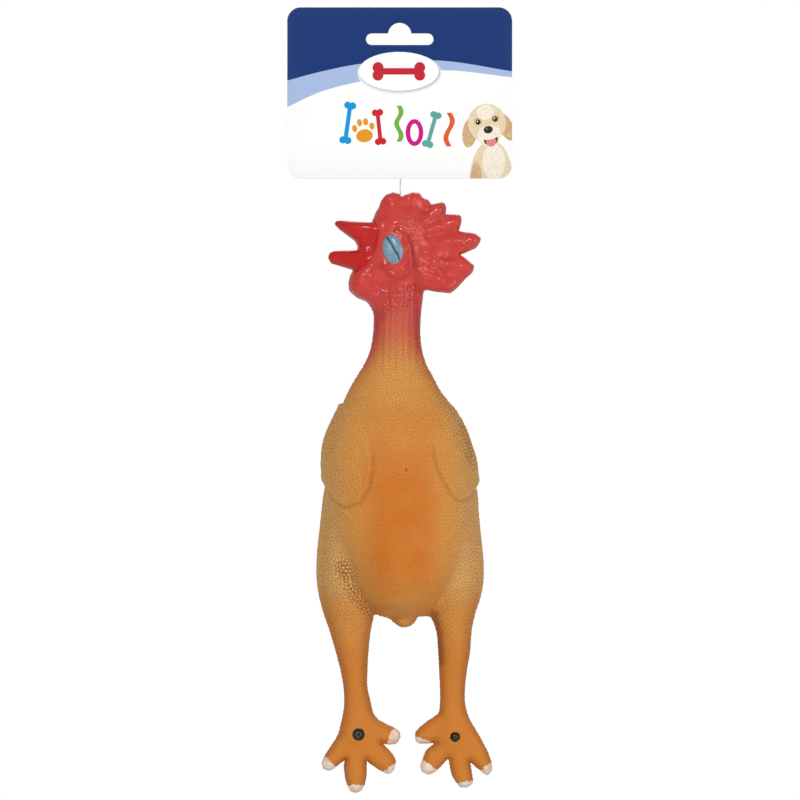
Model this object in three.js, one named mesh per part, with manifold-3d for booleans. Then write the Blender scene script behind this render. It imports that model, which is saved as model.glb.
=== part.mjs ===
// Rubber chicken: a hollow latex squeeze toy that hangs from a two-ply header card.
// Millimetres, +Z up. The belly faces -Y and the chicken's own left side is +X. The origin is
// the top of the card's hang slot, where a peg carries the toy.

import * as THREE from 'three';
import { mergeVertices } from 'three/addons/utils/BufferGeometryUtils.js';
import Module from 'manifold-3d';

// ------------------------------------------------------------------ driving dimensions

const FIT_GAP = 0.35; // air between two pieces that touch
const WALL = 1.8; // latex wall
const REACH = 400; // longer than the toy, for the blocks that cut it

const CARD = { halfWidth: 53.35, top: 7.4, bottom: -73.8, corner: 6.5, ply: 0.4, innerFace: 0.75 };
const SLOT = { halfWidth: 16, top: -5, bottom: -10.5, bumpRadius: 5.5 };

const PIN = {
  x: 0.3, // the hang line
  filamentRadius: 0.35,
  cardGap: 0.3, // from the card's lower edge to the top of the bare filament
  holeRadius: 0.75,
  paddle: { width: 6, thickness: 0.8, top: -61.2, bottom: -73.2 },
  bar: { length: 8, radius: 0.6, z: -85.9 },
};

// Flex lines: between its top and bottom heights the skin bends, and the hinge is halfway.
const FLEX = {
  neckTop: { top: -134, bottom: -142 },
  neckMid: { top: -149, bottom: -157 },
  neckBase: { top: -162, bottom: -171 },
  hip: { top: -283.5, bottom: -292.5 },
  knee: { top: -300, bottom: -307 },
  ankle: { top: -317, bottom: -324 },
};

// Head, neck and torso: [height, left edge, right edge, belly side, back side].
const TRUNK = [
  [-87, -7, 8, -3.5, 3.5],
  [-93, -12, 12, -8, 8],
  [-102, -14, 13.5, -10, 10],
  [-112, -15, 13, -10.5, 10.5],
  [-122, -15, 12, -10.5, 10.5],
  [-132, -12.8, 10.7, -10, 10],
  [-142, -12.4, 9.8, -10, 10],
  [-152, -13.2, 10, -11, 10.5],
  [-160, -15.8, 12, -12.5, 11.5],
  [-168, -20.6, 16, -15.5, 13.5],
  [-176, -25, 20.5, -19, 16.5],
  [-186, -30.5, 27.5, -23.5, 20.5],
  [-198, -35, 33, -27.5, 24],
  [-214, -36.4, 36.4, -30.5, 26.5],
  [-232, -36.4, 37, -33, 27.5],
  [-248, -38.3, 39, -35, 27.5],
  [-262, -39.2, 39.6, -33.5, 25],
  [-272, -37.5, 37.5, -27, 20.5],
  [-279, -27, 27, -18, 14.5],
  [-283, -9, 9, -7, 6],
];

// Right leg, from the thigh inside the torso to the ankle; same columns as the trunk.
const RIGHT_LEG = [
  [-262, -37, -11, -13, 13],
  [-274, -37.2, -11.4, -13, 13],
  [-283, -34.8, -13, -11.5, 11.5],
  [-291, -32.4, -14.2, -10, 10],
  [-300, -29.7, -15.1, -8.2, 8.2],
  [-309, -27.3, -15.5, -6.9, 6.9],
  [-318, -26.3, -15.2, -6.2, 6.2],
  [-327, -26.6, -13.4, -6.4, 6.4],
  [-334, -27, -13, -6.4, 6.4],
];
const LEFT_LEG = [
  [-262, 12, 37, -13, 13],
  [-274, 13.2, 37, -13, 13],
  [-283, 15.8, 34.4, -11.5, 11.5],
  [-291, 17.7, 33.8, -10, 10],
  [-300, 18.2, 33, -8.2, 8.2],
  [-309, 18.7, 31.6, -6.9, 6.9],
  [-318, 19.1, 30.8, -6.2, 6.2],
  [-327, 19.1, 31.4, -6.4, 6.4],
  [-334, 19, 32, -6.4, 6.4],
];

// Feet: the palm is an ellipsoid, and each toe runs from its root to its tip, [x, height].
const PALM = { halfWidth: 8, halfDepth: 7.2, halfHeight: 11 };
const RIGHT_FOOT = {
  palm: [-20, -337],
  toes: [
    { root: [-20, -337], tip: [-35.3, -353], radius: 4.3 },
    { root: [-20, -337], tip: [-21, -364.9], radius: 4.9 },
    { root: [-20, -337], tip: [-4.7, -355], radius: 4.3 },
    { root: [-17, -332.5], tip: [-1.4, -339], radius: 3.7 },
  ],
};
const LEFT_FOOT = {
  palm: [25.5, -337],
  toes: [
    { root: [25.5, -337], tip: [41.9, -356.3], radius: 4.3 },
    { root: [25.5, -337], tip: [31.2, -362.3], radius: 4.7 },
    { root: [25.5, -337], tip: [11.9, -355], radius: 5 },
    { root: [22.5, -331.5], tip: [8.6, -338.3], radius: 3.7 },
  ],
};

// Comb, [x, height] round its edge from the forehead over the crown to the nape.
const COMB = [
  [-12, -96], [-10.5, -90.1], [-8.4, -84.4], [-3.1, -80.8], [1, -82.7], [6.3, -80.7],
  [10.3, -83.1], [14.8, -86.4], [20.6, -85.2], [21, -90.9], [28.3, -91.3], [27.5, -99.1],
  [35.6, -100], [37.9, -102.3], [35.6, -106.4], [28.3, -109.7], [34.8, -115.4], [30.8, -121.1],
  [23.8, -127.6], [8, -125], [-4, -104],
];
const COMB_HOLLOW = [
  [-9, -96], [-7.5, -88], [-4, -84.3], [1, -84.5], [7, -84], [13, -88.5],
  [19, -93], [26, -102], [29, -104], [25, -109], [25, -119], [8, -121], [-4, -104],
];
const COMB_HALF_THICKNESS = 3.6;
const COMB_HOLLOW_HALF_THICKNESS = 1.7;

// The beak stands open. The lower half swings about the mouth corner, and a web of thin skin
// fills the wedge between it and the chin.
const MOUTH_CORNER = [-19.4, -107.2];
const UPPER_BEAK = [
  [-30.6, -95.6], [-28.8, -93.8], [-13.3, -94], [-8, -96], [-8, -110], [-17.5, -110],
  MOUTH_CORNER, [-20.7, -103.5],
];
const LOWER_BEAK = [
  [-33.7, -111.7], [-31.7, -108.4], [-21.2, -107.9], [-20.6, -109.5], [-23.9, -116.4],
  [-32.1, -114.1],
];
const JAW_WEB = [[-20.3, -109.9], [-23.4, -116.6], [-22.2, -116.9], [-20, -110]];
const CHIN = [
  [-21.7, -117.2], [-23.7, -123.5], [-23.5, -126.8], [-19.9, -130.1], [-13.3, -133.3],
  [-8, -133], [-8, -112], [-12, -107], [-19, -108],
];
const BEAK = { halfDepth: 6, webHalfDepth: 5, tipScale: 0.4, rootX: -12, tipX: -34 };
const CHIN_HALF_DEPTH = 7;
const RIM = { comb: 1, upperBeak: 1.2, lowerBeak: 1, chin: 1.5 };

const EYE = {
  x: -3.3, y: 9.2, z: -107.6, halfWidth: 4.75, halfDepth: 1.8, halfHeight: 6.75, lean: 13,
};
const WING = {
  x: 24, y: -11.5, z: -204, halfWidth: 13.5, halfDepth: 13.5, halfHeight: 27, lean: 4,
};
const TAIL = { x: 2.6, y: 2, z: -279.5, halfWidth: 8, halfDepth: 6, halfHeight: 6.8 };
const TAIL_ROOM = { halfWidth: 10, halfHeight: 10 }; // the nub stays on the torso inside this
const BELLY = { x: 0.3, z: -232, halfWidth: 22, halfHeight: 36 };

// Squeaker in the right foot and stopper in the left foot; both axes run along Y.
const SQUEAKER = { x: -19.5, z: -337.1, radius: 3.2, bore: 2.5, front: -6.8, back: 1.8 };
const SQUEAKER_CAP = { front: -6.3, thickness: 0.8, hole: 0.7 };
const REED_PLATE = { front: -1.2, thickness: 0.8, hole: 0.9 };
const REED = { width: 1.5, length: 3.2, thickness: 0.25 };
const STOPPER = { x: 26.2, z: -338.2, radius: 2.15, front: -7.1 };
// Stopper's dome, [share of its radius, height over its front], and its flange inside the foot.
const STOPPER_DOME = [[0, 0.9], [0.6, 0.65], [0.93, 0.25], [1, -0.2]];
const FLANGE = { radius: 3, front: -4.2, edgeFront: -3.8, edgeBack: -3, back: -2.6, chamfer: 0.4 };

const FINISH = {
  cardFront: { color: 0xf7f6f4, roughness: 0.45, metalness: 0 },
  cardBack: { color: 0xeeece8, roughness: 0.7, metalness: 0 },
  nylon: { color: 0xe4e6e8, roughness: 0.3, metalness: 0 },
  redLatex: { color: 0xc9483f, roughness: 0.42, metalness: 0 },
  beakLatex: { color: 0xbc2825, roughness: 0.3, metalness: 0 },
  neckLatex: { color: 0xcd6b4a, roughness: 0.5, metalness: 0 },
  orangeLatex: { color: 0xcb8642, roughness: 0.55, metalness: 0 },
  bellyLatex: { color: 0xcf7a32, roughness: 0.55, metalness: 0 },
  footLatex: { color: 0xc67838, roughness: 0.55, metalness: 0 },
  darkPlastic: { color: 0x2b2723, roughness: 0.4, metalness: 0 },
  greyPlastic: { color: 0x5d5440, roughness: 0.5, metalness: 0 },
};

// ------------------------------------------------------------------ solids

const wasm = await Module();
wasm.setup();

/** A manifold solid from a closed three.js geometry, with its faces turned outward. */
function solidOf(geometry) {
  const bare = geometry.index ? geometry.toNonIndexed() : geometry.clone();
  bare.deleteAttribute('normal');
  bare.deleteAttribute('uv');
  const merged = mergeVertices(bare, 1e-4);
  const position = merged.attributes.position;
  const triangles = [];
  let volume = 0;
  const corners = [new THREE.Vector3(), new THREE.Vector3(), new THREE.Vector3()];
  for (let i = 0; i < merged.index.count; i += 3) {
    const ids = [0, 1, 2].map((k) => merged.index.getX(i + k));
    if (new Set(ids).size < 3) continue;
    corners.forEach((corner, k) => corner.fromBufferAttribute(position, ids[k]));
    volume += corners[0].dot(corners[1].clone().cross(corners[2]));
    triangles.push(ids);
  }
  if (volume < 0) triangles.forEach((ids) => ids.reverse());
  const mesh = new wasm.Mesh({
    numProp: 3,
    vertProperties: new Float32Array(position.array),
    triVerts: new Uint32Array(triangles.flat()),
  });
  return new wasm.Manifold(mesh);
}

function join(...solids) {
  return solids.reduce((whole, solid) => whole.add(solid));
}

/** A named mesh in one finish, from a solid. */
function piece(name, solid, finish) {
  const { numProp, vertProperties, triVerts } = solid.getMesh();
  const points = [];
  for (let i = 0; i < vertProperties.length; i += numProp) {
    points.push(vertProperties[i], vertProperties[i + 1], vertProperties[i + 2]);
  }
  const geometry = new THREE.BufferGeometry();
  geometry.setAttribute('position', new THREE.Float32BufferAttribute(points, 3));
  geometry.setIndex([...triVerts]);
  geometry.computeVertexNormals();
  const mesh = new THREE.Mesh(geometry, new THREE.MeshStandardMaterial(finish));
  mesh.name = name;
  return mesh;
}

/** A tube whose section is an ellipse inside the edges given by each station. */
function loft(stations, sides, rings) {
  const edges = new THREE.CatmullRomCurve3(
    stations.map(([z, left, right]) => new THREE.Vector3(left, right, z)),
  );
  const faces = new THREE.CatmullRomCurve3(
    stations.map(([z, , , front, back]) => new THREE.Vector3(front, back, z)),
  );
  const profile = [new THREE.Vector2(0, 0)];
  for (let i = 0; i <= rings; i += 1) {
    profile.push(new THREE.Vector2(1, i / rings));
  }
  profile.push(new THREE.Vector2(0, 1));
  const geometry = new THREE.LatheGeometry(profile, sides);
  const position = geometry.attributes.position;
  for (let i = 0; i < position.count; i += 1) {
    const edge = edges.getPoint(position.getY(i));
    const face = faces.getPoint(position.getY(i));
    const x = (edge.x + edge.y + position.getX(i) * (edge.y - edge.x)) / 2;
    const y = (face.x + face.y + position.getZ(i) * (face.y - face.x)) / 2;
    position.setXYZ(i, x, y, edge.z);
  }
  return solidOf(geometry);
}

/** The same stations pulled in by the wall, for the hollow. */
function inside(stations) {
  const pulled = stations.map(([z, left, right, front, back]) => [
    z, left + WALL, right - WALL, front + WALL, back - WALL,
  ]);
  pulled[0][0] -= WALL;
  pulled[pulled.length - 1][0] += WALL;
  return pulled;
}

/** A plate with a rounded rim from an outline in the X-Z plane, centred on Y = 0. */
function plate(outline, halfDepth, rim, warp = null) {
  const shape = new THREE.Shape(outline.map(([x, z]) => new THREE.Vector2(x, z)));
  const geometry = new THREE.ExtrudeGeometry(shape, {
    depth: 2 * (halfDepth - rim),
    bevelEnabled: rim > 0,
    bevelThickness: rim,
    bevelSize: rim,
    bevelOffset: -rim,
    bevelSegments: 2,
    curveSegments: 6,
  });
  geometry.translate(0, 0, -(halfDepth - rim));
  geometry.rotateX(Math.PI / 2);
  if (warp) {
    const position = geometry.attributes.position;
    for (let i = 0; i < position.count; i += 1) {
      position.setY(i, position.getY(i) * warp(position.getX(i)));
    }
  }
  return solidOf(geometry);
}

function ellipsoid(x, y, z, halfX, halfY, halfZ, lean = 0, sides = 16) {
  const geometry = new THREE.SphereGeometry(1, sides, sides / 2);
  geometry.scale(halfX, halfY, halfZ);
  geometry.rotateY(THREE.MathUtils.degToRad(lean));
  geometry.translate(x, y, z);
  return solidOf(geometry);
}

/** A round-ended rod between two points. */
function rod(from, to, radius, capSteps = 2, sides = 8) {
  const start = new THREE.Vector3(...from);
  const end = new THREE.Vector3(...to);
  const axis = end.clone().sub(start);
  const geometry = new THREE.CapsuleGeometry(radius, axis.length(), capSteps, sides);
  const up = new THREE.Vector3(0, 1, 0);
  geometry.applyQuaternion(new THREE.Quaternion().setFromUnitVectors(up, axis.normalize()));
  geometry.translate(...start.add(end).multiplyScalar(0.5).toArray());
  return solidOf(geometry);
}

/** A turned solid about an axis along Y, from [radius, y] points. */
function turned(x, z, profile, sides = 16) {
  const points = profile.map(([radius, y]) => new THREE.Vector2(radius, y));
  const geometry = new THREE.LatheGeometry(points, sides);
  geometry.translate(x, 0, z);
  return solidOf(geometry);
}

/** An upright round bar. */
function upright(x, top, bottom, radius, sides = 12) {
  const geometry = new THREE.CylinderGeometry(radius, radius, top - bottom, sides);
  geometry.rotateX(Math.PI / 2);
  geometry.translate(x, 0, (top + bottom) / 2);
  return solidOf(geometry);
}

function block(x, y, z, width, depth, height) {
  const geometry = new THREE.BoxGeometry(width, depth, height);
  geometry.translate(x, y, z);
  return solidOf(geometry);
}

/** Everything between two heights. */
function slab(top, bottom) {
  return block(0, 0, (top + bottom) / 2, REACH, REACH, top - bottom);
}

// ------------------------------------------------------------------ header card and tag pin

function cardShape() {
  const { halfWidth, top, bottom, corner } = CARD;
  const shape = new THREE.Shape();
  shape.absarc(halfWidth - corner, top - corner, corner, 0, Math.PI / 2);
  shape.absarc(corner - halfWidth, top - corner, corner, Math.PI / 2, Math.PI);
  shape.absarc(corner - halfWidth, bottom + corner, corner, Math.PI, 1.5 * Math.PI);
  shape.absarc(halfWidth - corner, bottom + corner, corner, 1.5 * Math.PI, 2 * Math.PI);
  shape.holes.push(slotPath());
  return shape;
}

function slotPath() {
  const endRadius = (SLOT.top - SLOT.bottom) / 2;
  const middle = (SLOT.top + SLOT.bottom) / 2;
  const endX = SLOT.halfWidth - endRadius;
  const bumpStart = Math.asin((SLOT.top + SLOT.bumpRadius) / SLOT.bumpRadius);
  const path = new THREE.Path();
  path.absarc(endX, middle, endRadius, -Math.PI / 2, Math.PI / 2);
  path.absarc(0, -SLOT.bumpRadius, SLOT.bumpRadius, bumpStart, Math.PI - bumpStart);
  path.absarc(-endX, middle, endRadius, Math.PI / 2, 1.5 * Math.PI);
  path.closePath();
  return path;
}

/** One ply of the card; outward is -1 for the front ply and 1 for the back ply. */
function cardPly(outward) {
  const geometry = new THREE.ExtrudeGeometry(cardShape(), {
    depth: CARD.ply,
    bevelEnabled: false,
    curveSegments: 5,
  });
  geometry.rotateX(Math.PI / 2);
  const outerFace = CARD.innerFace + CARD.ply;
  geometry.translate(0, outward < 0 ? -CARD.innerFace : outerFace, 0);
  return solidOf(geometry);
}

function tagPaddle() {
  const { width, thickness, top, bottom } = PIN.paddle;
  return block(PIN.x, 0, (top + bottom) / 2, width, thickness, top - bottom);
}

function tagFilament() {
  const top = CARD.bottom - PIN.cardGap;
  const bottom = PIN.bar.z + PIN.bar.radius + FIT_GAP;
  return upright(PIN.x, top, bottom, PIN.filamentRadius, 8);
}

function tagBar() {
  const reach = PIN.bar.length / 2 - PIN.bar.radius;
  const { z, radius } = PIN.bar;
  return rod([PIN.x - reach, 0, z], [PIN.x + reach, 0, z], radius, 2, 8);
}

// ------------------------------------------------------------------ latex skin

/** Beak halves get thinner towards their tips. */
function beakTaper(x) {
  const share = THREE.MathUtils.clamp((BEAK.rootX - x) / (BEAK.rootX - BEAK.tipX), 0, 1);
  return THREE.MathUtils.lerp(1, BEAK.tipScale, share);
}

function headOutside() {
  const eyes = [-1, 1].map((side) => ellipsoid(
    EYE.x, side * EYE.y, EYE.z, EYE.halfWidth, EYE.halfDepth, EYE.halfHeight, -EYE.lean,
  ));
  return join(
    plate(COMB, COMB_HALF_THICKNESS, RIM.comb),
    plate(UPPER_BEAK, BEAK.halfDepth, RIM.upperBeak, beakTaper),
    plate(CHIN, CHIN_HALF_DEPTH, RIM.chin),
    ...eyes,
  );
}

function toeSolid({ root, tip, radius }, wall) {
  const run = new THREE.Vector2(...tip).sub(new THREE.Vector2(...root));
  const end = new THREE.Vector2(...tip).sub(run.setLength(radius));
  return rod([root[0], 0, root[1]], [end.x, 0, end.y], radius - wall);
}

function footSolid(foot, wall) {
  const palm = ellipsoid(
    foot.palm[0], 0, foot.palm[1],
    PALM.halfWidth - wall, PALM.halfDepth - wall, PALM.halfHeight - wall, 0, 12,
  );
  return join(palm, ...foot.toes.map((toe) => toeSolid(toe, wall)));
}

function wing(side) {
  return ellipsoid(
    side * WING.x, WING.y, WING.z,
    WING.halfWidth, WING.halfDepth, WING.halfHeight, side * WING.lean,
  );
}

/** One leg and foot as a hollow skin. */
function legSkin(stations, foot) {
  const outer = join(loft(stations, 14, 10), footSolid(foot, 0));
  return outer.subtract(join(loft(inside(stations), 10, 8), footSolid(foot, WALL)));
}

function skinSolid() {
  const outer = join(
    loft(TRUNK, 22, 30),
    wing(-1),
    wing(1),
    ellipsoid(TAIL.x, TAIL.y, TAIL.z, TAIL.halfWidth, TAIL.halfDepth, TAIL.halfHeight),
    loft(RIGHT_LEG, 14, 10),
    loft(LEFT_LEG, 14, 10),
    headOutside(),
  );
  const hollow = join(
    loft(inside(TRUNK), 16, 22),
    loft(inside(RIGHT_LEG), 10, 8),
    loft(inside(LEFT_LEG), 10, 8),
    plate(COMB_HOLLOW, COMB_HOLLOW_HALF_THICKNESS, 0),
  );
  const pinHole = upright(PIN.x, CARD.bottom, PIN.bar.z, PIN.holeRadius);
  return outer.subtract(hollow).subtract(pinHole);
}

/** The oval front panel that a hand squeezes in; the margin widens its outline. */
function bellyWindow(margin) {
  const outline = new THREE.Shape();
  outline.absellipse(
    BELLY.x, BELLY.z, BELLY.halfWidth + margin, BELLY.halfHeight + margin, 0, 2 * Math.PI,
  );
  const geometry = new THREE.ExtrudeGeometry(outline, {
    depth: REACH,
    bevelEnabled: false,
    curveSegments: 14,
  });
  geometry.rotateX(Math.PI / 2);
  return solidOf(geometry);
}

/** A bore along Y from in front of a foot into its hollow. */
function boreInto(x, z, radius) {
  return turned(x, z, [[0, -REACH], [radius, -REACH], [radius, 0], [0, 0]]);
}

// ------------------------------------------------------------------ squeaker and stopper

function squeakerBarrel() {
  const { x, z, radius, bore, front, back } = SQUEAKER;
  return turned(x, z, [
    [bore, front], [radius, front], [radius, back], [bore, back], [bore, front],
  ]);
}

/** A disc with a central hole that sits inside the barrel. */
function barrelDisc({ front, thickness, hole }) {
  const rim = SQUEAKER.bore - FIT_GAP;
  const back = front + thickness;
  return turned(SQUEAKER.x, SQUEAKER.z, [
    [hole, front], [rim, front], [rim, back], [hole, back], [hole, front],
  ]);
}

function stopperPlug() {
  const { x, z, radius, front } = STOPPER;
  const { edgeFront, edgeBack, back, chamfer } = FLANGE;
  return turned(x, z, [
    ...STOPPER_DOME.map(([share, height]) => [radius * share, front - height]),
    [radius, FLANGE.front], [FLANGE.radius, edgeFront], [FLANGE.radius, edgeBack],
    [FLANGE.radius - chamfer, back], [0, back],
  ]);
}

// ------------------------------------------------------------------ the assembly

const chicken = new THREE.Group();

function addCard() {
  chicken.add(piece('card_front_ply', cardPly(-1), FINISH.cardFront));
  chicken.add(piece('card_back_ply', cardPly(1), FINISH.cardBack));
  chicken.add(piece('tag_paddle', tagPaddle(), FINISH.nylon));
  chicken.add(piece('tag_filament', tagFilament(), FINISH.nylon));
  chicken.add(piece('tag_t_bar', tagBar(), FINISH.nylon));
}

/** The part of the skin from just under one flex line to just above the next. */
function between(skin, top, bottom) {
  return skin.intersect(slab(top - FIT_GAP / 2, bottom + FIT_GAP / 2));
}

function addHeadAndNeck(skin) {
  const { neckTop, neckMid, neckBase } = FLEX;
  const lowerBeak = plate(LOWER_BEAK, BEAK.halfDepth, RIM.lowerBeak, beakTaper);
  const jawWeb = plate(JAW_WEB, BEAK.webHalfDepth, 0, beakTaper);
  chicken.add(
    piece('head', between(skin, CARD.bottom, neckTop.top), FINISH.redLatex),
    piece('lower_beak', lowerBeak, FINISH.beakLatex),
    piece('jaw_web', jawWeb, FINISH.beakLatex),
    piece('neck_top_flex', between(skin, neckTop.top, neckTop.bottom), FINISH.neckLatex),
    piece('neck_upper', between(skin, neckTop.bottom, neckMid.top), FINISH.neckLatex),
    piece('neck_mid_flex', between(skin, neckMid.top, neckMid.bottom), FINISH.neckLatex),
    piece('neck_lower', between(skin, neckMid.bottom, neckBase.top), FINISH.orangeLatex),
    piece('neck_base_flex', between(skin, neckBase.top, neckBase.bottom), FINISH.orangeLatex),
  );
}

function addTorso(skin) {
  const tailRoom = block(
    TAIL.x, 0, FLEX.hip.top, 2 * TAIL_ROOM.halfWidth, REACH, 2 * TAIL_ROOM.halfHeight,
  );
  const torsoRoom = slab(FLEX.neckBase.bottom - FIT_GAP / 2, FLEX.hip.top + FIT_GAP / 2);
  const torso = skin.intersect(torsoRoom.add(tailRoom));
  const window = bellyWindow(FIT_GAP);
  chicken.add(
    piece('torso', torso.subtract(window), FINISH.orangeLatex),
    piece('belly_panel', torso.intersect(bellyWindow(0)), FINISH.bellyLatex),
  );
}

function addLeg(name, skin, footBore) {
  const { hip, knee, ankle } = FLEX;
  const foot = between(skin, ankle.bottom, -REACH).subtract(footBore);
  chicken.add(
    piece(`${name}_hip_flex`, between(skin, hip.top, hip.bottom), FINISH.orangeLatex),
    piece(`${name}_thigh`, between(skin, hip.bottom, knee.top), FINISH.orangeLatex),
    piece(`${name}_knee_flex`, between(skin, knee.top, knee.bottom), FINISH.orangeLatex),
    piece(`${name}_shank`, between(skin, knee.bottom, ankle.top), FINISH.orangeLatex),
    piece(`${name}_ankle_flex`, between(skin, ankle.top, ankle.bottom), FINISH.footLatex),
    piece(`${name}_foot`, foot, FINISH.footLatex),
  );
}

function addSqueaker() {
  const plateBack = REED_PLATE.front + REED_PLATE.thickness;
  const reed = block(
    SQUEAKER.x, plateBack + FIT_GAP + REED.thickness / 2, SQUEAKER.z,
    REED.width, REED.thickness, REED.length,
  );
  chicken.add(
    piece('squeaker_barrel', squeakerBarrel(), FINISH.greyPlastic),
    piece('squeaker_cap', barrelDisc(SQUEAKER_CAP), FINISH.greyPlastic),
    piece('squeaker_reed_plate', barrelDisc(REED_PLATE), FINISH.greyPlastic),
    piece('squeaker_reed', reed, FINISH.nylon),
  );
}

const skin = skinSolid();
const squeakerBore = boreInto(SQUEAKER.x, SQUEAKER.z, SQUEAKER.radius + FIT_GAP);
const stopperBore = boreInto(STOPPER.x, STOPPER.z, STOPPER.radius + FIT_GAP);
addCard();
addHeadAndNeck(skin);
addTorso(skin);
addLeg('right', legSkin(RIGHT_LEG, RIGHT_FOOT), squeakerBore);
addLeg('left', legSkin(LEFT_LEG, LEFT_FOOT), stopperBore);
addSqueaker();
chicken.add(piece('stopper_plug', stopperPlug(), FINISH.darkPlastic));

export default chicken;
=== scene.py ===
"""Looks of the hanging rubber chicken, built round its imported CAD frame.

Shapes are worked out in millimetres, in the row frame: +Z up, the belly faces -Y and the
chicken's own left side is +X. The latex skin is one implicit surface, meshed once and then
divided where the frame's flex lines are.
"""

import math

import bmesh
import bpy
import numpy as np
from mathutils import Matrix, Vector, geometry, kdtree


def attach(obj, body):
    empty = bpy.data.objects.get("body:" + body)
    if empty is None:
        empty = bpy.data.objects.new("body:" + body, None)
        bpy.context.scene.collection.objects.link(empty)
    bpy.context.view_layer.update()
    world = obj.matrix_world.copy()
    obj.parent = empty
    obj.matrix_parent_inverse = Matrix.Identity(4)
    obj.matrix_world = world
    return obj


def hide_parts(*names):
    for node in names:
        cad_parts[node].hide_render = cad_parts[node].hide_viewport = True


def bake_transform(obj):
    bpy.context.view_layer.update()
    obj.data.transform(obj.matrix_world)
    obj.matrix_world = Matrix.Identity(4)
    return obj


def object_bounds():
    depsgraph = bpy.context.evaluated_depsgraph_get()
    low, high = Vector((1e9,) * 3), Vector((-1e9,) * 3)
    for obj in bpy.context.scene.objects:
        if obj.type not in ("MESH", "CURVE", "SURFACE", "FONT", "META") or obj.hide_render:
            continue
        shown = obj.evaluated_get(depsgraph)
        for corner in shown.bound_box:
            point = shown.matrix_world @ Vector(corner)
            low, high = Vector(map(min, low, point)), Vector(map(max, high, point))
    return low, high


MM = 0.001

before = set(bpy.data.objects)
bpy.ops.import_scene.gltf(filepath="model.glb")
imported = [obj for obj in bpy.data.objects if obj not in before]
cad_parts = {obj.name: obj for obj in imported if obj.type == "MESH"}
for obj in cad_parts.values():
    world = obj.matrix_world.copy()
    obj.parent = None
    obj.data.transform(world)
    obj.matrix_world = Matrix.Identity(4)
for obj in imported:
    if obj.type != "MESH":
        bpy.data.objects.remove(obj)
cad_low, cad_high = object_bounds()

# ---- dimensions, in millimetres

GRID_STEP = 0.6  # spacing of the skin's mesh
SCALE_PITCH = 2.3  # distance between neighbouring skin scales
SCALE_GROOVE = 0.4  # depth of the net of grooves between scales
SEAM_HEIGHT = 0.22  # mould seam round the outline
SEED = 7

# Head, neck and torso: height, left edge, right edge, belly side, back side.
TRUNK = [
    (-86, -3.5, 4.5, -2.2, 2.2),
    (-89, -9, 9, -5, 5),
    (-94, -12, 12.5, -8, 8),
    (-102, -13.8, 13, -9.4, 9.4),
    (-112, -15, 11.5, -9.8, 9.8),
    (-122, -14.6, 11, -9.8, 9.8),
    (-130, -13, 10.7, -9.6, 9.6),
    (-138, -12.3, 10, -9.6, 9.6),
    (-148, -12.6, 9.7, -10.2, 10),
    (-156, -14.2, 10.7, -11.4, 10.8),
    (-162, -16.8, 12.6, -13.2, 12),
    (-167, -19.9, 15.3, -15, 13.2),
    (-173, -23.4, 18.4, -17.6, 15.2),
    (-179, -26.6, 22, -20.2, 17.4),
    (-186, -30.4, 27.2, -23.5, 20.2),
    (-198, -35.4, 33, -27.3, 23.8),
    (-208, -36.6, 36, -29.6, 25.8),
    (-218, -35.9, 36.6, -31.2, 27),
    (-232, -35.9, 36.8, -33, 27.4),
    (-242, -34.4, 36.4, -34.4, 27),
    (-250, -31.8, 35, -34.6, 26.4),
    (-258, -28.6, 32.6, -33.6, 24.6),
    (-265, -25, 29, -31, 21.6),
    (-271, -20.8, 24.4, -26.6, 17.6),
    (-277, -16.6, 19.4, -19, 12),
    (-279.4, -13.6, 17, -13, 8.6),
    (-280.8, -9, 13.4, -7, 4.4),
]

# Legs, from inside the torso to inside the foot: height, the right leg's two edges, the left
# leg's two edges, belly side, back side.
LEGS = [
    (-226, -34.6, -22, 22, 35.2, -9, 9),
    (-236, -36.8, -17, 18, 37.4, -15, 15),
    (-246, -38.2, -13, 14, 39, -18, 17),
    (-256, -39.2, -11.6, 12.6, 39.6, -18.6, 17.2),
    (-264, -39.2, -11.4, 12.4, 39.5, -17.4, 16.2),
    (-272, -38, -11.6, 12.8, 38.2, -15.4, 14.6),
    (-280, -35.8, -12.4, 14.6, 35.6, -12.8, 12.6),
    (-288, -33.2, -13.9, 17.4, 33.9, -10.6, 10.6),
    (-298, -30.2, -15, 18.2, 33.3, -8.6, 8.6),
    (-307, -27.8, -15.5, 18.6, 31.9, -7.2, 7.2),
    (-315, -26.5, -15.5, 19, 31, -6.4, 6.4),
    (-323, -26.4, -13.8, 19.1, 31, -6.2, 6.2),
    (-331, -27.2, -12.8, 19.2, 32, -6.4, 6.4),
    (-337, -27, -13, 19.4, 31.6, -6.2, 6.2),
]
LEG_EDGES = {"right": (1, 2), "left": (3, 4)}  # columns of LEGS

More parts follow.
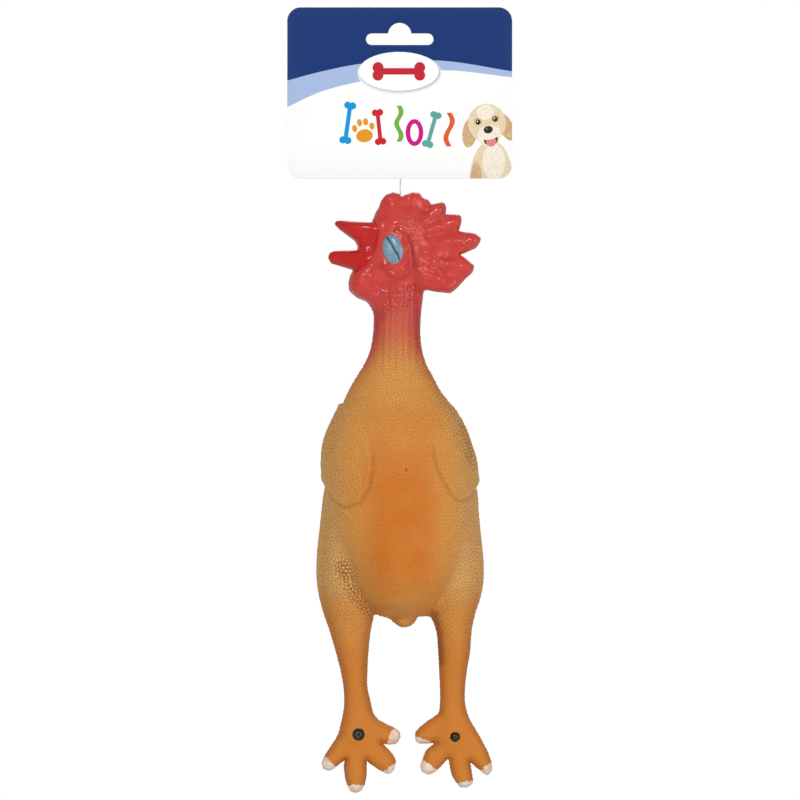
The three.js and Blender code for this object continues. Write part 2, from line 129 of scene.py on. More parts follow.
# Feet seen from the front, from one side of the ankle round the toes to the other.
FEET = {
    "right": [
        (-23, -318), (-26, -328.3), (-27.6, -335.4), (-31.8, -341.8), (-35.2, -347),
        (-36.9, -350.5), (-36.1, -353.4), (-33.5, -354.5), (-31.2, -353.1), (-25.7, -348.8),
        (-26.3, -352.3), (-25.7, -358.1), (-24.5, -362.1), (-23.3, -364.1), (-21.2, -364.9),
        (-18.4, -364.1), (-16.8, -361), (-16.1, -356.9), (-16, -349.1), (-12.6, -351.7),
        (-8.3, -354.3), (-5.1, -355.6), (-3.3, -354), (-2.2, -349.7), (-3.9, -346.5),
        (-8.8, -341.2), (-5.1, -341.8), (-1.6, -341.2), (0, -338.3), (-0.7, -335.7),
        (-3.3, -334.3), (-9.7, -330.8), (-13.4, -327), (-18, -318),
    ],
    "left": [
        (22, -317), (19.1, -326.8), (13.5, -330.8), (9.4, -334.3), (7.6, -336.6),
        (7.7, -340.1), (9.4, -341.5), (13.5, -341.5), (17, -341), (12.6, -344.7),
        (11.2, -348.2), (9.9, -352.3), (10.6, -354.9), (13.5, -356.2), (16.4, -355.2),
        (19.3, -352.6), (23.1, -348.5), (23.9, -353.4), (24.8, -356.9), (26.5, -359.8),
        (28.6, -362.4), (31.5, -362.8), (34.1, -361), (34.7, -359.2), (34.1, -355.8),
        (33.2, -350), (37.3, -353.4), (41.6, -356.6), (43.5, -354), (43.1, -350),
        (41.6, -345.3), (37.9, -338.3), (33.2, -330.8), (30.6, -325), (28, -317),
    ],
}
FOOT_RIM = 4.7  # how far in from its outline a foot's edge curves
FOOT_HALF = 5.7
PALMS = {"right": (-19.8, -336.6), "left": (25.6, -337)}
PALM_HALF = (7.4, 7.6, 7.4)

# Claws: a point inside the toe, the toe's tip, and how far back from it the paint reaches.
CLAWS = [
    ((-21, -336), (-36.4, -353), 4.8),
    ((-20.5, -338), (-21, -364.9), 4),
    ((-18.5, -337), (-3.8, -355.2), 3),
    ((-18, -331), (-0.6, -339.4), 4.6),
    ((27, -336), (43, -356.2), 4.6),
    ((26, -338), (31.2, -362.8), 3.2),
    ((24, -337), (10.6, -355.6), 5.9),
    ((12.6, -332.1), (9.5, -341.6), 3.1),
]
CLAW_HALF = 5.0
CLAW_OVERRUN = 0.6  # how far past a toe's tip its paint may reach
CLAW_ROUNDING = 0.02  # curve of the painted edge
OUTSIDE = -9.0  # a distance that stands for far outside a painted area
FAR_AWAY = 1e9  # squared distance that a search starts from

COMB = [
    (-12.5, -97), (-11.4, -92.6), (-9.7, -88.6), (-8.4, -84.6), (-5.9, -82),
    (-3.1, -80.7), (-0.8, -81.3), (1, -82.7), (3.4, -81.5), (6.3, -80.7),
    (9.1, -80.9), (10.3, -83.1), (13.2, -83.9), (14.8, -86.4), (17.6, -85.9),
    (20.6, -85.2), (21.4, -87.6), (21, -90.9), (25.4, -91.2), (28.3, -91.3),
    (28.6, -93.6), (27.5, -98.6), (31.6, -99.6), (35.6, -100), (37.9, -102.3),
    (35.6, -106.4), (31.4, -108.4), (28, -109.7), (31.6, -112.4), (34.8, -115.4),
    (33.8, -118.2), (30.8, -121.1), (27.4, -124.8), (23.8, -127.6), (18, -127.2),
    (12, -126), (8, -123), (2, -110),
]
COMB_RIBS = [  # from the root of the comb to the root of each point
    ((4, -97), (7.5, -84)),
    ((6, -97.5), (18.6, -88.6)),
    ((7, -100), (26, -94.4)),
    ((8, -105), (35, -103.2)),
    ((8.5, -112), (31.6, -116)),
    ((9, -118), (23.6, -124.4)),
    ((-1, -95), (-4.4, -84)),
]
COMB_FLUTES = [  # valleys between the ribs, out to each notch
    [(9.5, -94), (14.4, -87)],
    [(13, -96.4), (20.8, -91.2)],
    [(14, -101), (20, -99.8), (27, -99.2)],
    [(14, -113), (21, -111.8), (28, -109.8)],
]
NAPE = [(5.5, -101), (6.8, -106), (7.7, -112), (8.7, -119), (10, -126.5)]
COMB_HALF = 3.0
COMB_RIM = 1.8

RIB_RADII = (1.8, 1.3)  # of a comb rib at its root and its point
RIB_FLATNESS = 2.0  # its depth over its height
COMB_ROOT = (2, -108)  # the comb is thickest here, and thins out to its rim
HEAD_BOX = ((-36, -12, -140), (40, 12, -78))
CHEEK_MIDDLE = (-1.6, 6.0, -110.5)
CHEEK_HALF = (9.0, 4.6, 11.5)

MOUTH_CORNER = (-19.4, -107.2)
UPPER_BEAK = [
    (-30.8, -95.4), (-30.2, -94.2), (-28.6, -93.7), (-20, -93.9), (-13, -94),
    (-8, -96), (-8, -111), (-16, -111), (-19, -108.4), (-20, -105.4),
    (-21.2, -103.2), (-24.2, -101), (-28.2, -98),
]
LOWER_BEAK = [
    (-33.8, -111.4), (-33.2, -109.2), (-31.2, -108.3), (-25, -107.8), (-20.6, -107.4),
    (-14, -106), (-11, -112), (-14, -118), (-21.5, -117.2), (-27.4, -115.4),
    (-32.4, -113.9),
]
CHIN = [
    (-20.6, -115), (-22.8, -119), (-23.9, -123.4), (-23.6, -126.8), (-20.2, -130),
    (-15.6, -132), (-12.6, -134.4), (-7, -138), (-6, -112), (-16, -110),
]
BEAK_PAINT_EDGE = [(-11.7, -90), (-11.2, -94.1), (-9.5, -99.1), (-10.9, -107.2),
                   (-14.9, -114.6), (-18, -117.6), (-28, -120)]

EYE_CENTRE = (-3.3, -107.6)
EYE_HALF = (4.5, 6.75)
EYE_LEAN = math.radians(13)
EYE_SLIT = [(-6.1, -101.7), (-4.6, -104), (-2.7, -107.2), (-1.2, -109.6), (-0.4, -112.1)]
EYE_SLIT_HALF = 0.34
# Patches of coarse glossy pebbles: middle (x, height), half width, half height, strength.
PEBBLES = [
    (4.8, -95.6, 8, 4.6, 1.3), (20.4, -116.2, 8.4, 5.4, 1.4), (29.6, -104.6, 7, 2.8, 0.8),
    (-11.4, -128.4, 5.6, 3.8, 0.9), (-2, -126, 7, 6, 0.8), (-9.4, -94.6, 2.4, 4, 0.7),
    (-13.4, -114.6, 3, 4, 0.5), (0.2, -117, 2.6, 2, 0.7), (0, -134, 8, 6, 0.7),
    (21, -97, 5, 2.5, 0.6),
]
EYE_SOCKET = [(-7.4, -114.6), (-5, -118.4), (-1.2, -120.4), (2.8, -119.2), (5.2, -114.4),
              (4.9, -107), (2.4, -101.4), (-1.4, -98.8)]

# Squeaker in the right foot and stopper in the left foot: (x, height), socket radius and floor.
SQUEAKER_AXIS = (-19.5, -337.1)
SQUEAKER_SOCKET = (2.7, 1.0)
STOPPER_AXIS = (26.2, -338.2)
STOPPER_SOCKET = (2.15, -4.6)

WING_OUTLINES = {
    "right": [(-27, -180.5), (-20.6, -186), (-15.6, -194), (-13.4, -203),
              (-13.4, -211), (-15.2, -220.2), (-19.9, -227.2), (-26.3, -229.1),
              (-31, -226.6), (-35, -220.4), (-37.2, -215.4), (-46, -208),
              (-50, -195), (-40, -180)],
    "left": [(21, -177.6), (18.6, -186), (16.2, -195), (16.6, -204),
             (18.4, -211), (21.3, -216.9), (24.8, -222.8), (28.4, -226.2),
             (32.6, -225.4), (36, -220.4), (38.2, -216), (46, -210),
             (50, -195), (40, -178)],
}
WING_RAISE = 0.75
# Lines of painted shade: the thigh fold and the upper right flank darken the scale grooves, and the
# groin line is darkened too.
THIGH_FOLD = [(-27, -257), (-22.5, -268), (-18, -275), (-11.5, -280.5)]
FLANK_SHADE = [(17, -166), (23, -176), (29, -184), (33, -195), (35, -206)]
GROIN_SHADE = [(16.4, -279.6), (17.6, -286), (18.6, -295), (19, -303)]
VENT_SPECK = (3, -211.6)

TAIL_CENTRE = (2.7, -0.6, -280.8)
TAIL_HALF = (5.3, 5.2, 5.2)
TAIL_SLOPE = ((-6.4, -279.6), (1, -282.6))
# Painted light: paler paint and less painted shade round the tail nub, which faces down away from the
# lamps.
TAIL_LIGHT_HALF = 9.0  # half width of the paler paint round the tail nub

RED_START = 121.0  # depth at which the head's red begins to fade
RED_SIDE_DROP = 15.0  # how much lower it begins at the neck's sides
RED_LENGTH = 50.0
BEAK_LOWEST = 124.0
COLUMN_PITCH = 3.3  # between the furrows down the neck
WRINKLE_PITCH = 2.4  # across the belly
CREASE_PITCH = 1.9  # fine rings round the legs

# Depths below the frame's origin between which a feature comes in or goes out.
SPANS = {
    "neck_scales_in": (119, 128), "columns_in": (120, 128), "face_out": (124, 138),
    "head_out": (126, 134), "neck_in": (126, 142), "scales_in": (128, 140),
    "pebbles_out": (136, 150), "body_in": (140, 165), "columns_out": (150, 172),
    "lumps_in": (160, 200), "airbrush_in": (170, 192), "torso_in": (172, 190),
    "airbrush_full": (190, 222), "wing_top": (192, 207), "wing_line_in": (194, 206),
    "airbrush_out": (256, 276), "leg_paint_in": (262, 280), "torso_out": (262, 284),
    "tail_shade": (266, 276), "tail_paint": (268, 278), "body_out": (270, 290),
    "legs_in": (282, 312), "foot_in": (284, 306), "scales_out": (316, 328),
}


# ---- small numeric tools


def smoothstep(value, low, high):
    share = np.clip((value - low) / (high - low), 0, 1)
    return share * share * (3 - 2 * share)


def bell(value, width):
    """1 where value is 0, falling away smoothly on both sides."""
    return np.exp(-((value / width) ** 2))


def smooth_min(a, b, width):
    if width <= 0:
        return np.minimum(a, b)
    near = np.maximum(width - np.abs(a - b), 0) / width
    return np.minimum(a, b) - near * near * width / 4


def through(x, knots, values):
    """A smooth curve through the knots, which may be in falling order."""
    order = np.argsort(knots)
    knots = np.asarray(knots, float)[order]
    values = np.asarray(values, float)[order]
    slopes = np.gradient(values, knots)
    x = np.clip(x, knots[0], knots[-1])
    i = np.clip(np.searchsorted(knots, x) - 1, 0, len(knots) - 2)
    width = knots[i + 1] - knots[i]
    t = (x - knots[i]) / width
    return (
        values[i] * (1 + 2 * t) * (1 - t) ** 2
        + slopes[i] * width * t * (1 - t) ** 2
        + values[i + 1] * t * t * (3 - 2 * t)
        + slopes[i + 1] * width * t * t * (t - 1)
    )


def nearest_on(x, z, start, end):
    """Squared distance to a segment, and above 0 on its right hand."""
    ex, ez = end[0] - start[0], end[1] - start[1]
    across, up = x - start[0], z - start[1]
    t = np.clip((across * ex + up * ez) / (ex * ex + ez * ez), 0, 1)
    return (across - t * ex) ** 2 + (up - t * ez) ** 2, across * ez - up * ex


def polygon_distance(x, z, outline):
    """Signed distance to a closed outline in the X-Z plane, negative inside."""
    best = np.full(np.broadcast(x, z).shape, FAR_AWAY)
    inside = np.zeros(best.shape, bool)
    for start, end in zip(outline, outline[1:] + outline[:1]):
        best = np.minimum(best, nearest_on(x, z, start, end)[0])
        run, rise = end[0] - start[0], end[1] - start[1]
        crossing = run * (z - start[1]) / (rise or 1e-9) + start[0]
        inside ^= ((start[1] > z) != (end[1] > z)) & (x < crossing)
    return np.where(inside, -1, 1) * np.sqrt(best)


def line_distance(x, z, line):
    """Distance to an open line in the X-Z plane, and which side of it: 1 is its right hand."""
    best = np.full(np.broadcast(x, z).shape, FAR_AWAY)
    side = np.zeros(best.shape)
    for start, end in zip(line, line[1:]):
        found, turn = nearest_on(x, z, start, end)
        side = np.where(found < best, np.sign(turn), side)
        best = np.minimum(best, found)
    return np.sqrt(best), side


def between_corners(table, base, t):
    """Values of a 3-D table a share t of the way from each corner base to the next."""
    total = np.zeros(len(t))
    for corner in np.ndindex(2, 2, 2):
        share = np.prod(np.where(np.array(corner) == 1, t, 1 - t), axis=1)
        total += share * table[tuple(((base + corner) % table.shape).T)]
    return total


class ValueNoise:
    """Smooth random field of about -1 to 1, the same on every run."""

    SIZE = 32

    def __init__(self, seed):
        self.table = np.random.default_rng(seed).uniform(-1, 1, (self.SIZE,) * 3)

    def __call__(self, points, pitch, octaves=1):
        total = np.zeros(len(points))
        weight = 1.0
        for octave in range(octaves):
            total += weight * self._single(points / pitch * 2**octave + 17.3 * octave)
            weight *= 0.5
        return total

    def _single(self, q):
        base = np.floor(q).astype(int)
        t = q - base
        return between_corners(self.table, base, t * t * (3 - 2 * t))


noise = ValueNoise(SEED)

# ---- implicit shapes


def ellipse_distance(u, v, half_u, half_v):
    """Close to the distance from an ellipse's outline, negative inside."""
    reach = np.sqrt((u / half_u) ** 2 + (v / half_v) ** 2)
    slope = np.sqrt((u / half_u**2) ** 2 + (v / half_v**2) ** 2)
    return np.where(slope > 1e-6, reach * (reach - 1) / np.maximum(slope, 1e-6),
                    -np.minimum(half_u, half_v))


def loft_distance(stations):
    heights, left, right, front, back = (np.array(column) for column in zip(*stations))

    def distance(x, y, z):
        lo, hi = through(z, heights, left), through(z, heights, right)
        near, far = through(z, heights, front), through(z, heights, back)
        middle = (lo + hi) / 2
        half_depth = np.where(y < 0, -near, far)
        inside = ellipse_distance(x - middle, y, (hi - lo) / 2, half_depth)
        past = np.maximum(z - heights.max(), heights.min() - z)
        return np.where(past > 0, np.hypot(np.maximum(inside, 0), past), inside)

    return distance


def ellipsoid_distance(centre, half):
    def distance(x, y, z):
        offsets = [c - m for c, m in zip((x, y, z), centre)]
        reach = np.sqrt(sum((c / h) ** 2 for c, h in zip(offsets, half)))
        slope = np.sqrt(sum((c / h**2) ** 2 for c, h in zip(offsets, half)))
        return reach * (reach - 1) / np.maximum(slope, 1e-6)

    return distance


def cone_distance(start, end, start_radius, end_radius, flatness=1.0):
    """A rod with round ends between two (x, z) points on the parting plane."""

    def distance(x, y, z):
        ex, ez = end[0] - start[0], end[1] - start[1]
        t = ((x - start[0]) * ex + (z - start[1]) * ez) / (ex * ex + ez * ez)
        t = np.clip(t, 0, 1)
        gap = np.sqrt(
            (x - start[0] - t * ex) ** 2 + (z - start[1] - t * ez) ** 2 + (y / flatness) ** 2
        )
        return gap - (start_radius + t * (end_radius - start_radius))

    return distance


def pillow_distance(outline, rim, half_depth):
    """A flat shape with a rounded rim; half_depth may be a function of (x, z)."""

    def distance(x, y, z):
        inward = np.maximum(polygon_distance(x, z, outline) + rim, 0)
        depth = half_depth(x, z) if callable(half_depth) else half_depth
        return np.sqrt(inward**2 + (y * rim / depth) ** 2) - rim

    return distance


class Field:
    """Signed distances on a regular grid that shapes are joined into."""

    FAR = 4.0

    def __init__(self, low, high, step):
        self.step = step
        self.low = np.array(low, float)
        count = np.ceil((np.array(high) - self.low) / step).astype(int) + 1
        self.axes = [self.low[k] + step * np.arange(count[k]) for k in range(3)]
        self.values = np.full(count, self.FAR, np.float32)

    def join(self, shape, low, high, width=0.0):
        """Adds a shape inside a box; width is the radius of the fillet where it meets."""
        cut = tuple(
            slice(np.searchsorted(axis, low[k] - self.FAR), np.searchsorted(axis, high[k] + self.FAR))
            for k, axis in enumerate(self.axes)
        )
        x = self.axes[0][cut[0]][:, None, None]
        y = self.axes[1][cut[1]][None, :, None]
        z = self.axes[2][cut[2]][None, None, :]
        found = np.clip(shape(x, y, z), -60, 60).astype(np.float32)
        self.values[cut] = smooth_min(self.values[cut], found, width)

    def cut(self, shape, low, high, width=0.0):
        """Takes a shape inside a box away; width rounds the lip that it leaves."""
        self.values *= -1
        self.join(shape, low, high, width)
        self.values *= -1

    def sample(self, points):
        q = (points - self.low) / self.step
        base = np.clip(np.floor(q).astype(int), 0, np.array(self.values.shape) - 2)
        return between_corners(self.values, base, q - base)

    def gradient(self, points):
        reach = self.step * 0.75
        found = [
            self.sample(points + reach * offset) - self.sample(points - reach * offset)
            for offset in np.eye(3)
        ]
        return np.stack(found, axis=1) / (2 * reach)

    def mesh(self):
        """Vertices and outward quads of the zero surface, one vertex for each cell it cuts."""
        solid = self.values < 0
        corners = np.array(list(np.ndindex(2, 2, 2)))
        count = np.zeros(np.array(solid.shape) - 1, np.int8)
        for corner in corners:
            count += solid[tuple(slice(k, k + n) for k, n in zip(corner, count.shape))]
        cells = np.argwhere((count > 0) & (count < 8))
        number = np.full(count.shape, -1, np.int32)
        number[tuple(cells.T)] = np.arange(len(cells))
        total = np.zeros((len(cells), 3))
        crossings = np.zeros(len(cells))
        for axis, along in enumerate(np.eye(3, dtype=int)):
            for corner in corners[corners[:, axis] == 0]:
                start = self.values[tuple((cells + corner).T)]
                end = self.values[tuple((cells + corner + along).T)]
                cut = (start < 0) != (end < 0)
                t = np.where(cut, start / np.where(cut, start - end, 1), 0)
                total += np.where(cut[:, None], corner + t[:, None] * along, 0)
                crossings += cut
        points = self.low + self.step * (cells + total / crossings[:, None])
        quads = []
        for axis in range(3):
            after, last = (axis + 1) % 3, (axis + 2) % 3
            upper = np.take(solid, range(1, solid.shape[axis]), axis)
            lower = np.take(solid, range(solid.shape[axis] - 1), axis)
            edges = np.argwhere(upper != lower)
            keep = (edges[:, after] > 0) & (edges[:, last] > 0)
            edges = edges[keep]
            leaving = lower[tuple(edges.T)]
            ring = []
            for back_after, back_last in ((1, 1), (0, 1), (0, 0), (1, 0)):
                cell = edges.copy()
                cell[:, after] -= back_after
                cell[:, last] -= back_last
                ring.append(number[tuple(cell.T)])
            ring = np.stack(ring, axis=1)
            quads.append(np.where(leaving[:, None], ring, ring[:, ::-1]))
        return points, np.concatenate(quads)


# ---- the latex skin


def half_beak_depth(x, _z):
    """Beak halves get thinner towards their tips."""
    return 2.2 + 4.6 * smoothstep(x, -35.0, -14.0)


def comb_depth(x, z):
    """The comb thins from its root, beside the head, to its rim."""
    reach = np.hypot(x - COMB_ROOT[0], z - COMB_ROOT[1])
    return COMB_HALF + 1.6 * (1 - smoothstep(reach, 10, 24))


def add_head(field):
    """Comb, chin, beak and cheeks; the last number of each join is its fillet."""
    field.join(pillow_distance(COMB, COMB_RIM, comb_depth), *HEAD_BOX, 3.0)
    for root, tip in COMB_RIBS:
        field.join(cone_distance(root, tip, *RIB_RADII, RIB_FLATNESS), *HEAD_BOX, 3.2)
    field.join(pillow_distance(CHIN, 5.5, 7.6), *HEAD_BOX, 4.0)
    field.join(pillow_distance(UPPER_BEAK, 3.0, half_beak_depth), *HEAD_BOX, 1.6)
    field.join(pillow_distance(LOWER_BEAK, 2.9, half_beak_depth), *HEAD_BOX, 1.2)
    x, y, z = CHEEK_MIDDLE
    for side in (-1, 1):
        field.join(ellipsoid_distance((x, side * y, z), CHEEK_HALF), *HEAD_BOX, 4.0)


def add_leg(field, side):
    inner, outer = LEG_EDGES[side]
    stations = [(row[0], row[inner], row[outer], row[5], row[6]) for row in LEGS]
    left = min(row[1] for row in stations)
    right = max(row[2] for row in stations)
    low, high = (left, -20, stations[-1][0]), (right, 20, stations[0][0])
    field.join(loft_distance(stations), low, high, 3.4)
    x, z = PALMS[side]
    low, high = (x - 24, -10, -367), (x + 24, 10, -318)
    field.join(pillow_distance(FEET[side], FOOT_RIM, FOOT_HALF), low, high, 2.0)
    field.join(ellipsoid_distance((x, 0, z), PALM_HALF), low, high, 4.0)


def skin_field():
    field = Field((-44, -40, -370), (44, 33, -76), GRID_STEP)
    field.join(loft_distance(TRUNK), (-42, -36, -286), (42, 30, -84))
    add_head(field)
    for side in PALMS:
        add_leg(field, side)
    tail_low = [c - h for c, h in zip(TAIL_CENTRE, TAIL_HALF)]
    tail_high = [c + h for c, h in zip(TAIL_CENTRE, TAIL_HALF)]
    field.join(cone_distance(*TAIL_SLOPE, 1.5, 2.4, 1.6), (-9, -4, -286), (4, 4, -277), 2.0)
    field.join(ellipsoid_distance(TAIL_CENTRE, TAIL_HALF), tail_low, tail_high, 2.4)
    return field


def edges_of(quads):
    """Every pair of joined vertices once."""
    pairs = np.concatenate([quads[:, [k, (k + 1) % 4]] for k in range(4)])
    return np.unique(np.sort(pairs, axis=1), axis=0)


def averaged(values, edges, rounds):
    """Values softened over the mesh by its edges."""
    count = np.bincount(edges.ravel(), minlength=len(values))[:, None]
    for _ in range(rounds):
        total = np.zeros_like(values)
        for k in range(values.shape[1]):
            total[:, k] = np.bincount(edges[:, 0], values[edges[:, 1], k], len(values))
            total[:, k] += np.bincount(edges[:, 1], values[edges[:, 0], k], len(values))
        values = 0.5 * values + 0.5 * total / count
    return values


def settle(field, points, rounds):
    """Moves points onto the zero surface."""
    for _ in range(rounds):
        slope = field.gradient(points)
        length = np.maximum((slope**2).sum(axis=1), 0.05)
        step = (field.sample(points) / length)[:, None] * slope
        points = points - np.clip(step, -0.5, 0.5)
    return points


def normals_of(points, quads):
    across = points[quads[:, 2]] - points[quads[:, 0]]
    other = points[quads[:, 3]] - points[quads[:, 1]]
    face = np.cross(across, other)
    total = np.zeros_like(points)
    for k in range(4):
        for axis in range(3):
            total[:, axis] += np.bincount(quads[:, k], face[:, axis], len(points))
    return total / np.maximum(np.linalg.norm(total, axis=1), 1e-9)[:, None]


def tree_of(points):
    tree = kdtree.KDTree(len(points))
    for index, point in enumerate(points):
        tree.insert(point, index)
    tree.balance()
    return tree


def scale_net(points):
    """0 on the net of grooves between skin scales, 1 on the scales' middles."""
    cell = np.floor(points / (SCALE_PITCH * 0.86)).astype(np.int64)
    key = (cell[:, 0] * 73856093) ^ (cell[:, 1] * 19349663) ^ (cell[:, 2] * 83492791)
    order = np.random.default_rng(SEED).permutation(len(points))
    seeds = points[order[np.unique(key[order], return_index=True)[1]]]
    for _ in range(3):
        tree = tree_of(seeds)
        owner = np.array([tree.find(p)[1] for p in points])
        count = np.bincount(owner, minlength=len(seeds))[:, None]
        sums = [np.bincount(owner, points[:, k], len(seeds)) for k in range(3)]
        seeds = np.where(count > 0, np.stack(sums, axis=1) / np.maximum(count, 1), seeds)
    tree = tree_of(seeds)
    nearest = [[found[2] for found in tree.find_n(p, 2)] for p in points]
    return smoothstep(np.diff(nearest, axis=1)[:, 0], 0.0, 0.4 * SCALE_PITCH)


def cut_socket(field, centre, socket):
    """A round recess along Y in the front of a foot, with a soft lip."""
    radius, floor = socket

    def outside(x, y, z):
        wall = np.hypot(x - centre[0], z - centre[1]) - radius
        return np.maximum(wall, y - floor)

    low = (centre[0] - radius - 1, -12, centre[1] - radius - 1)
    high = (centre[0] + radius + 1, floor + 1, centre[1] + radius + 1)
    field.cut(outside, low, high, 0.9)


class Skin:
    """The whole skin's mesh, with the values its finish and its relief depend on."""

    def __init__(self):
        field = skin_field()
        cut_socket(field, SQUEAKER_AXIS, SQUEAKER_SOCKET)
        cut_socket(field, STOPPER_AXIS, STOPPER_SOCKET)
        points, self.quads = field.mesh()
        edges = edges_of(self.quads)
        points = averaged(settle(field, points, 2), edges, 2)
        self.rest = settle(field, points, 2)
        self.base_normals = averaged(normals_of(self.rest, self.quads), edges, 2)
        self.values = {}
        self.paint()
        self.points = self.rest + self.relief()[:, None] * self.base_normals
        self.normals = normals_of(self.points, self.quads)

    def below(self, span):
        """0 above a named span down the toy and 1 below it."""
        return smoothstep(-self.rest[:, 2], *SPANS[span])

    def along(self, lines, width, beside=0.0):
        """Near 1 on lines in the X-Z plane, or a distance beside them."""
        x, _, z = self.rest.T
        return sum(bell(line_distance(x, z, line)[0] - beside, width) for line in lines)

    def paint(self):
        """Where each colour lies, as smooth values from 0 to 1 or as distances."""
        x, y, z = self.rest.T
        values = self.values
        trunk = np.array(TRUNK)
        left, right = (through(z, trunk[:, 0], trunk[:, k]) for k in (1, 2))
        edge = np.abs(x - (left + right) / 2) / np.maximum((right - left) / 2, 1)
        patchy = noise(self.rest, 9.0, 2)
        fade = -z - RED_START - RED_SIDE_DROP * np.clip(edge, 0, 1) ** 3 + 3.0 * patchy
        values["red"] = 1 - smoothstep(fade / RED_LENGTH, 0, 1)
        sprayed = smoothstep(bell(x - 1.0, 19), 0.05, 0.85) * (1 - smoothstep(y, -10, 4))
        sprayed *= 1 - 0.5 * self.below("airbrush_out")
        sprayed *= 0.5 * self.below("airbrush_in") + 0.5 * self.below("airbrush_full")
        # Painted light round the tail nub: less airbrush here, and less painted shade in shading().
        tail_painted_light = bell(x - TAIL_CENTRE[0], TAIL_LIGHT_HALF)
        sprayed *= 1 - 0.6 * tail_painted_light * self.below("tail_paint")
        values["airbrush"] = sprayed * (0.92 + 0.15 * patchy)
        # Painted shade: the scale grooves darken along the thigh fold and the upper right flank.
        shade_and_wear = np.maximum(self.along([THIGH_FOLD], 3.2), 0.8 * self.along([FLANK_SHADE], 4.6))
        values["groove_shade"] = shade_and_wear * (y < 0)
        values["speck"] = bell(np.hypot(x - VENT_SPECK[0], z - VENT_SPECK[1]), 0.5) * (y < 0)
        # The seam mask raises the mould seam and also carries a painted shade line along the
        # turned-away outline.
        values["seam"] = bell(y, 0.9) * smoothstep(1 - np.abs(self.base_normals[:, 1]), 0.5, 0.9)
        torso = self.below("torso_in") * (1 - self.below("torso_out"))
        values["flank"] = np.maximum(smoothstep(edge, 0.62, 0.98), smoothstep(y, -6, 10)) * torso
        hip = 0.45 * self.below("leg_paint_in") * smoothstep(np.abs(x), 14, 24)
        values["foot"] = hip + (1 - hip) * self.below("foot_in")
        beak, side = line_distance(x, z, BEAK_PAINT_EDGE)
        values["beak"] = np.where(-z < BEAK_LOWEST, beak * side, OUTSIDE)
        values["claw"] = self.claw_distance(x, z)
        values["eye"], values["slit"] = self.eye_distances(x, z)
        self.plain = smoothstep(-values["beak"], 0.2, 2.0) * smoothstep(-values["eye"], 0.2, 1.5)
        wings = [-polygon_distance(x, z, WING_OUTLINES[name]) for name in ("right", "left")]
        self.wing = np.where(x < 0, *wings)
        self.wing_reach = 1 - smoothstep(y, 2, 14)
        # Painted shade along the crease round each wing, fading out at the sides.
        line = bell(self.wing + 0.5, 0.8) * self.wing_reach * self.below("wing_line_in")
        values["shade"] = 0.34 * line * (1 - 0.75 * smoothstep(np.abs(x), 24, 31))
        values["shade"] += self.shading(tail_painted_light)
        values["pebble"] = self.pebbles()

    def shading(self, tail_painted_light):
        """Painted shade: darker paint in the folds of the head and legs, round the eye's socket and
        where the skin turns away.
        """
        y = self.rest[:, 1]
        sides = smoothstep(np.abs(y), 1.5, 3.5)
        below = self.below("neck_in")
        facing = np.abs(self.base_normals)
        turned_away = (1 - facing[:, 1]) * (1 - below) + facing[:, 0] * below
        body = self.below("body_in") * (1 - self.below("body_out"))
        total = (0.5 - 0.14 * below - 0.2 * body) * smoothstep(turned_away, 0.45, 0.98)
        total *= 1 - 0.8 * tail_painted_light * self.below("tail_shade")
        total += 0.22 * self.along(COMB_FLUTES, 1.2) * sides
        total += 0.36 * self.along([NAPE], 1.7) * sides * (1 - self.below("head_out"))
        total += 0.3 * self.along([EYE_SOCKET], 1.2, 1.0) * sides
        total += 0.7 * self.along([GROIN_SHADE], 1.9) * (y < 3)
        return total * np.where(self.values["beak"] > 0, 0.5, 1.0)

    def pebbles(self):
        """How coarse and glossy the pebbles of the head's skin are."""
        x, _, z = self.rest.T
        total = np.full(len(x), 0.22)
        for middle, height, half_x, half_z, strength in PEBBLES:
            patch = bell(x - middle, half_x) * bell(z - height, half_z)
            total = np.maximum(total, strength * patch)
        total *= 0.75 + 0.5 * noise(self.rest, 3.0)
        return total * self.plain * (1 - self.below("pebbles_out"))

    def claw_distance(self, x, z):
        """Above 0 on the white claws, in millimetres in from their painted edge."""
        best = np.full(len(x), OUTSIDE)
        for root, tip, paint in CLAWS:
            run = np.array(tip) - np.array(root)
            run = run / np.linalg.norm(run)
            along = (x - tip[0]) * run[0] + (z - tip[1]) * run[1]
            across = np.abs((x - tip[0]) * -run[1] + (z - tip[1]) * run[0])
            near = (across < CLAW_HALF) & (along < CLAW_OVERRUN)
            inside = paint + along - CLAW_ROUNDING * across**2
            best = np.maximum(best, np.where(near, inside, OUTSIDE))
        return best

    def eye_distances(self, x, z):
        """Millimetres in from the eyelid's edge, and how near the slit is."""
        right, up = x - EYE_CENTRE[0], z - EYE_CENTRE[1]
        u = right * math.cos(EYE_LEAN) + up * math.sin(EYE_LEAN)
        v = up * math.cos(EYE_LEAN) - right * math.sin(EYE_LEAN)
        lid = -ellipse_distance(u, v, *EYE_HALF)
        slit, side = line_distance(x, z, EYE_SLIT)
        return np.maximum(lid, OUTSIDE), np.clip(slit * side, OUTSIDE, -OUTSIDE)

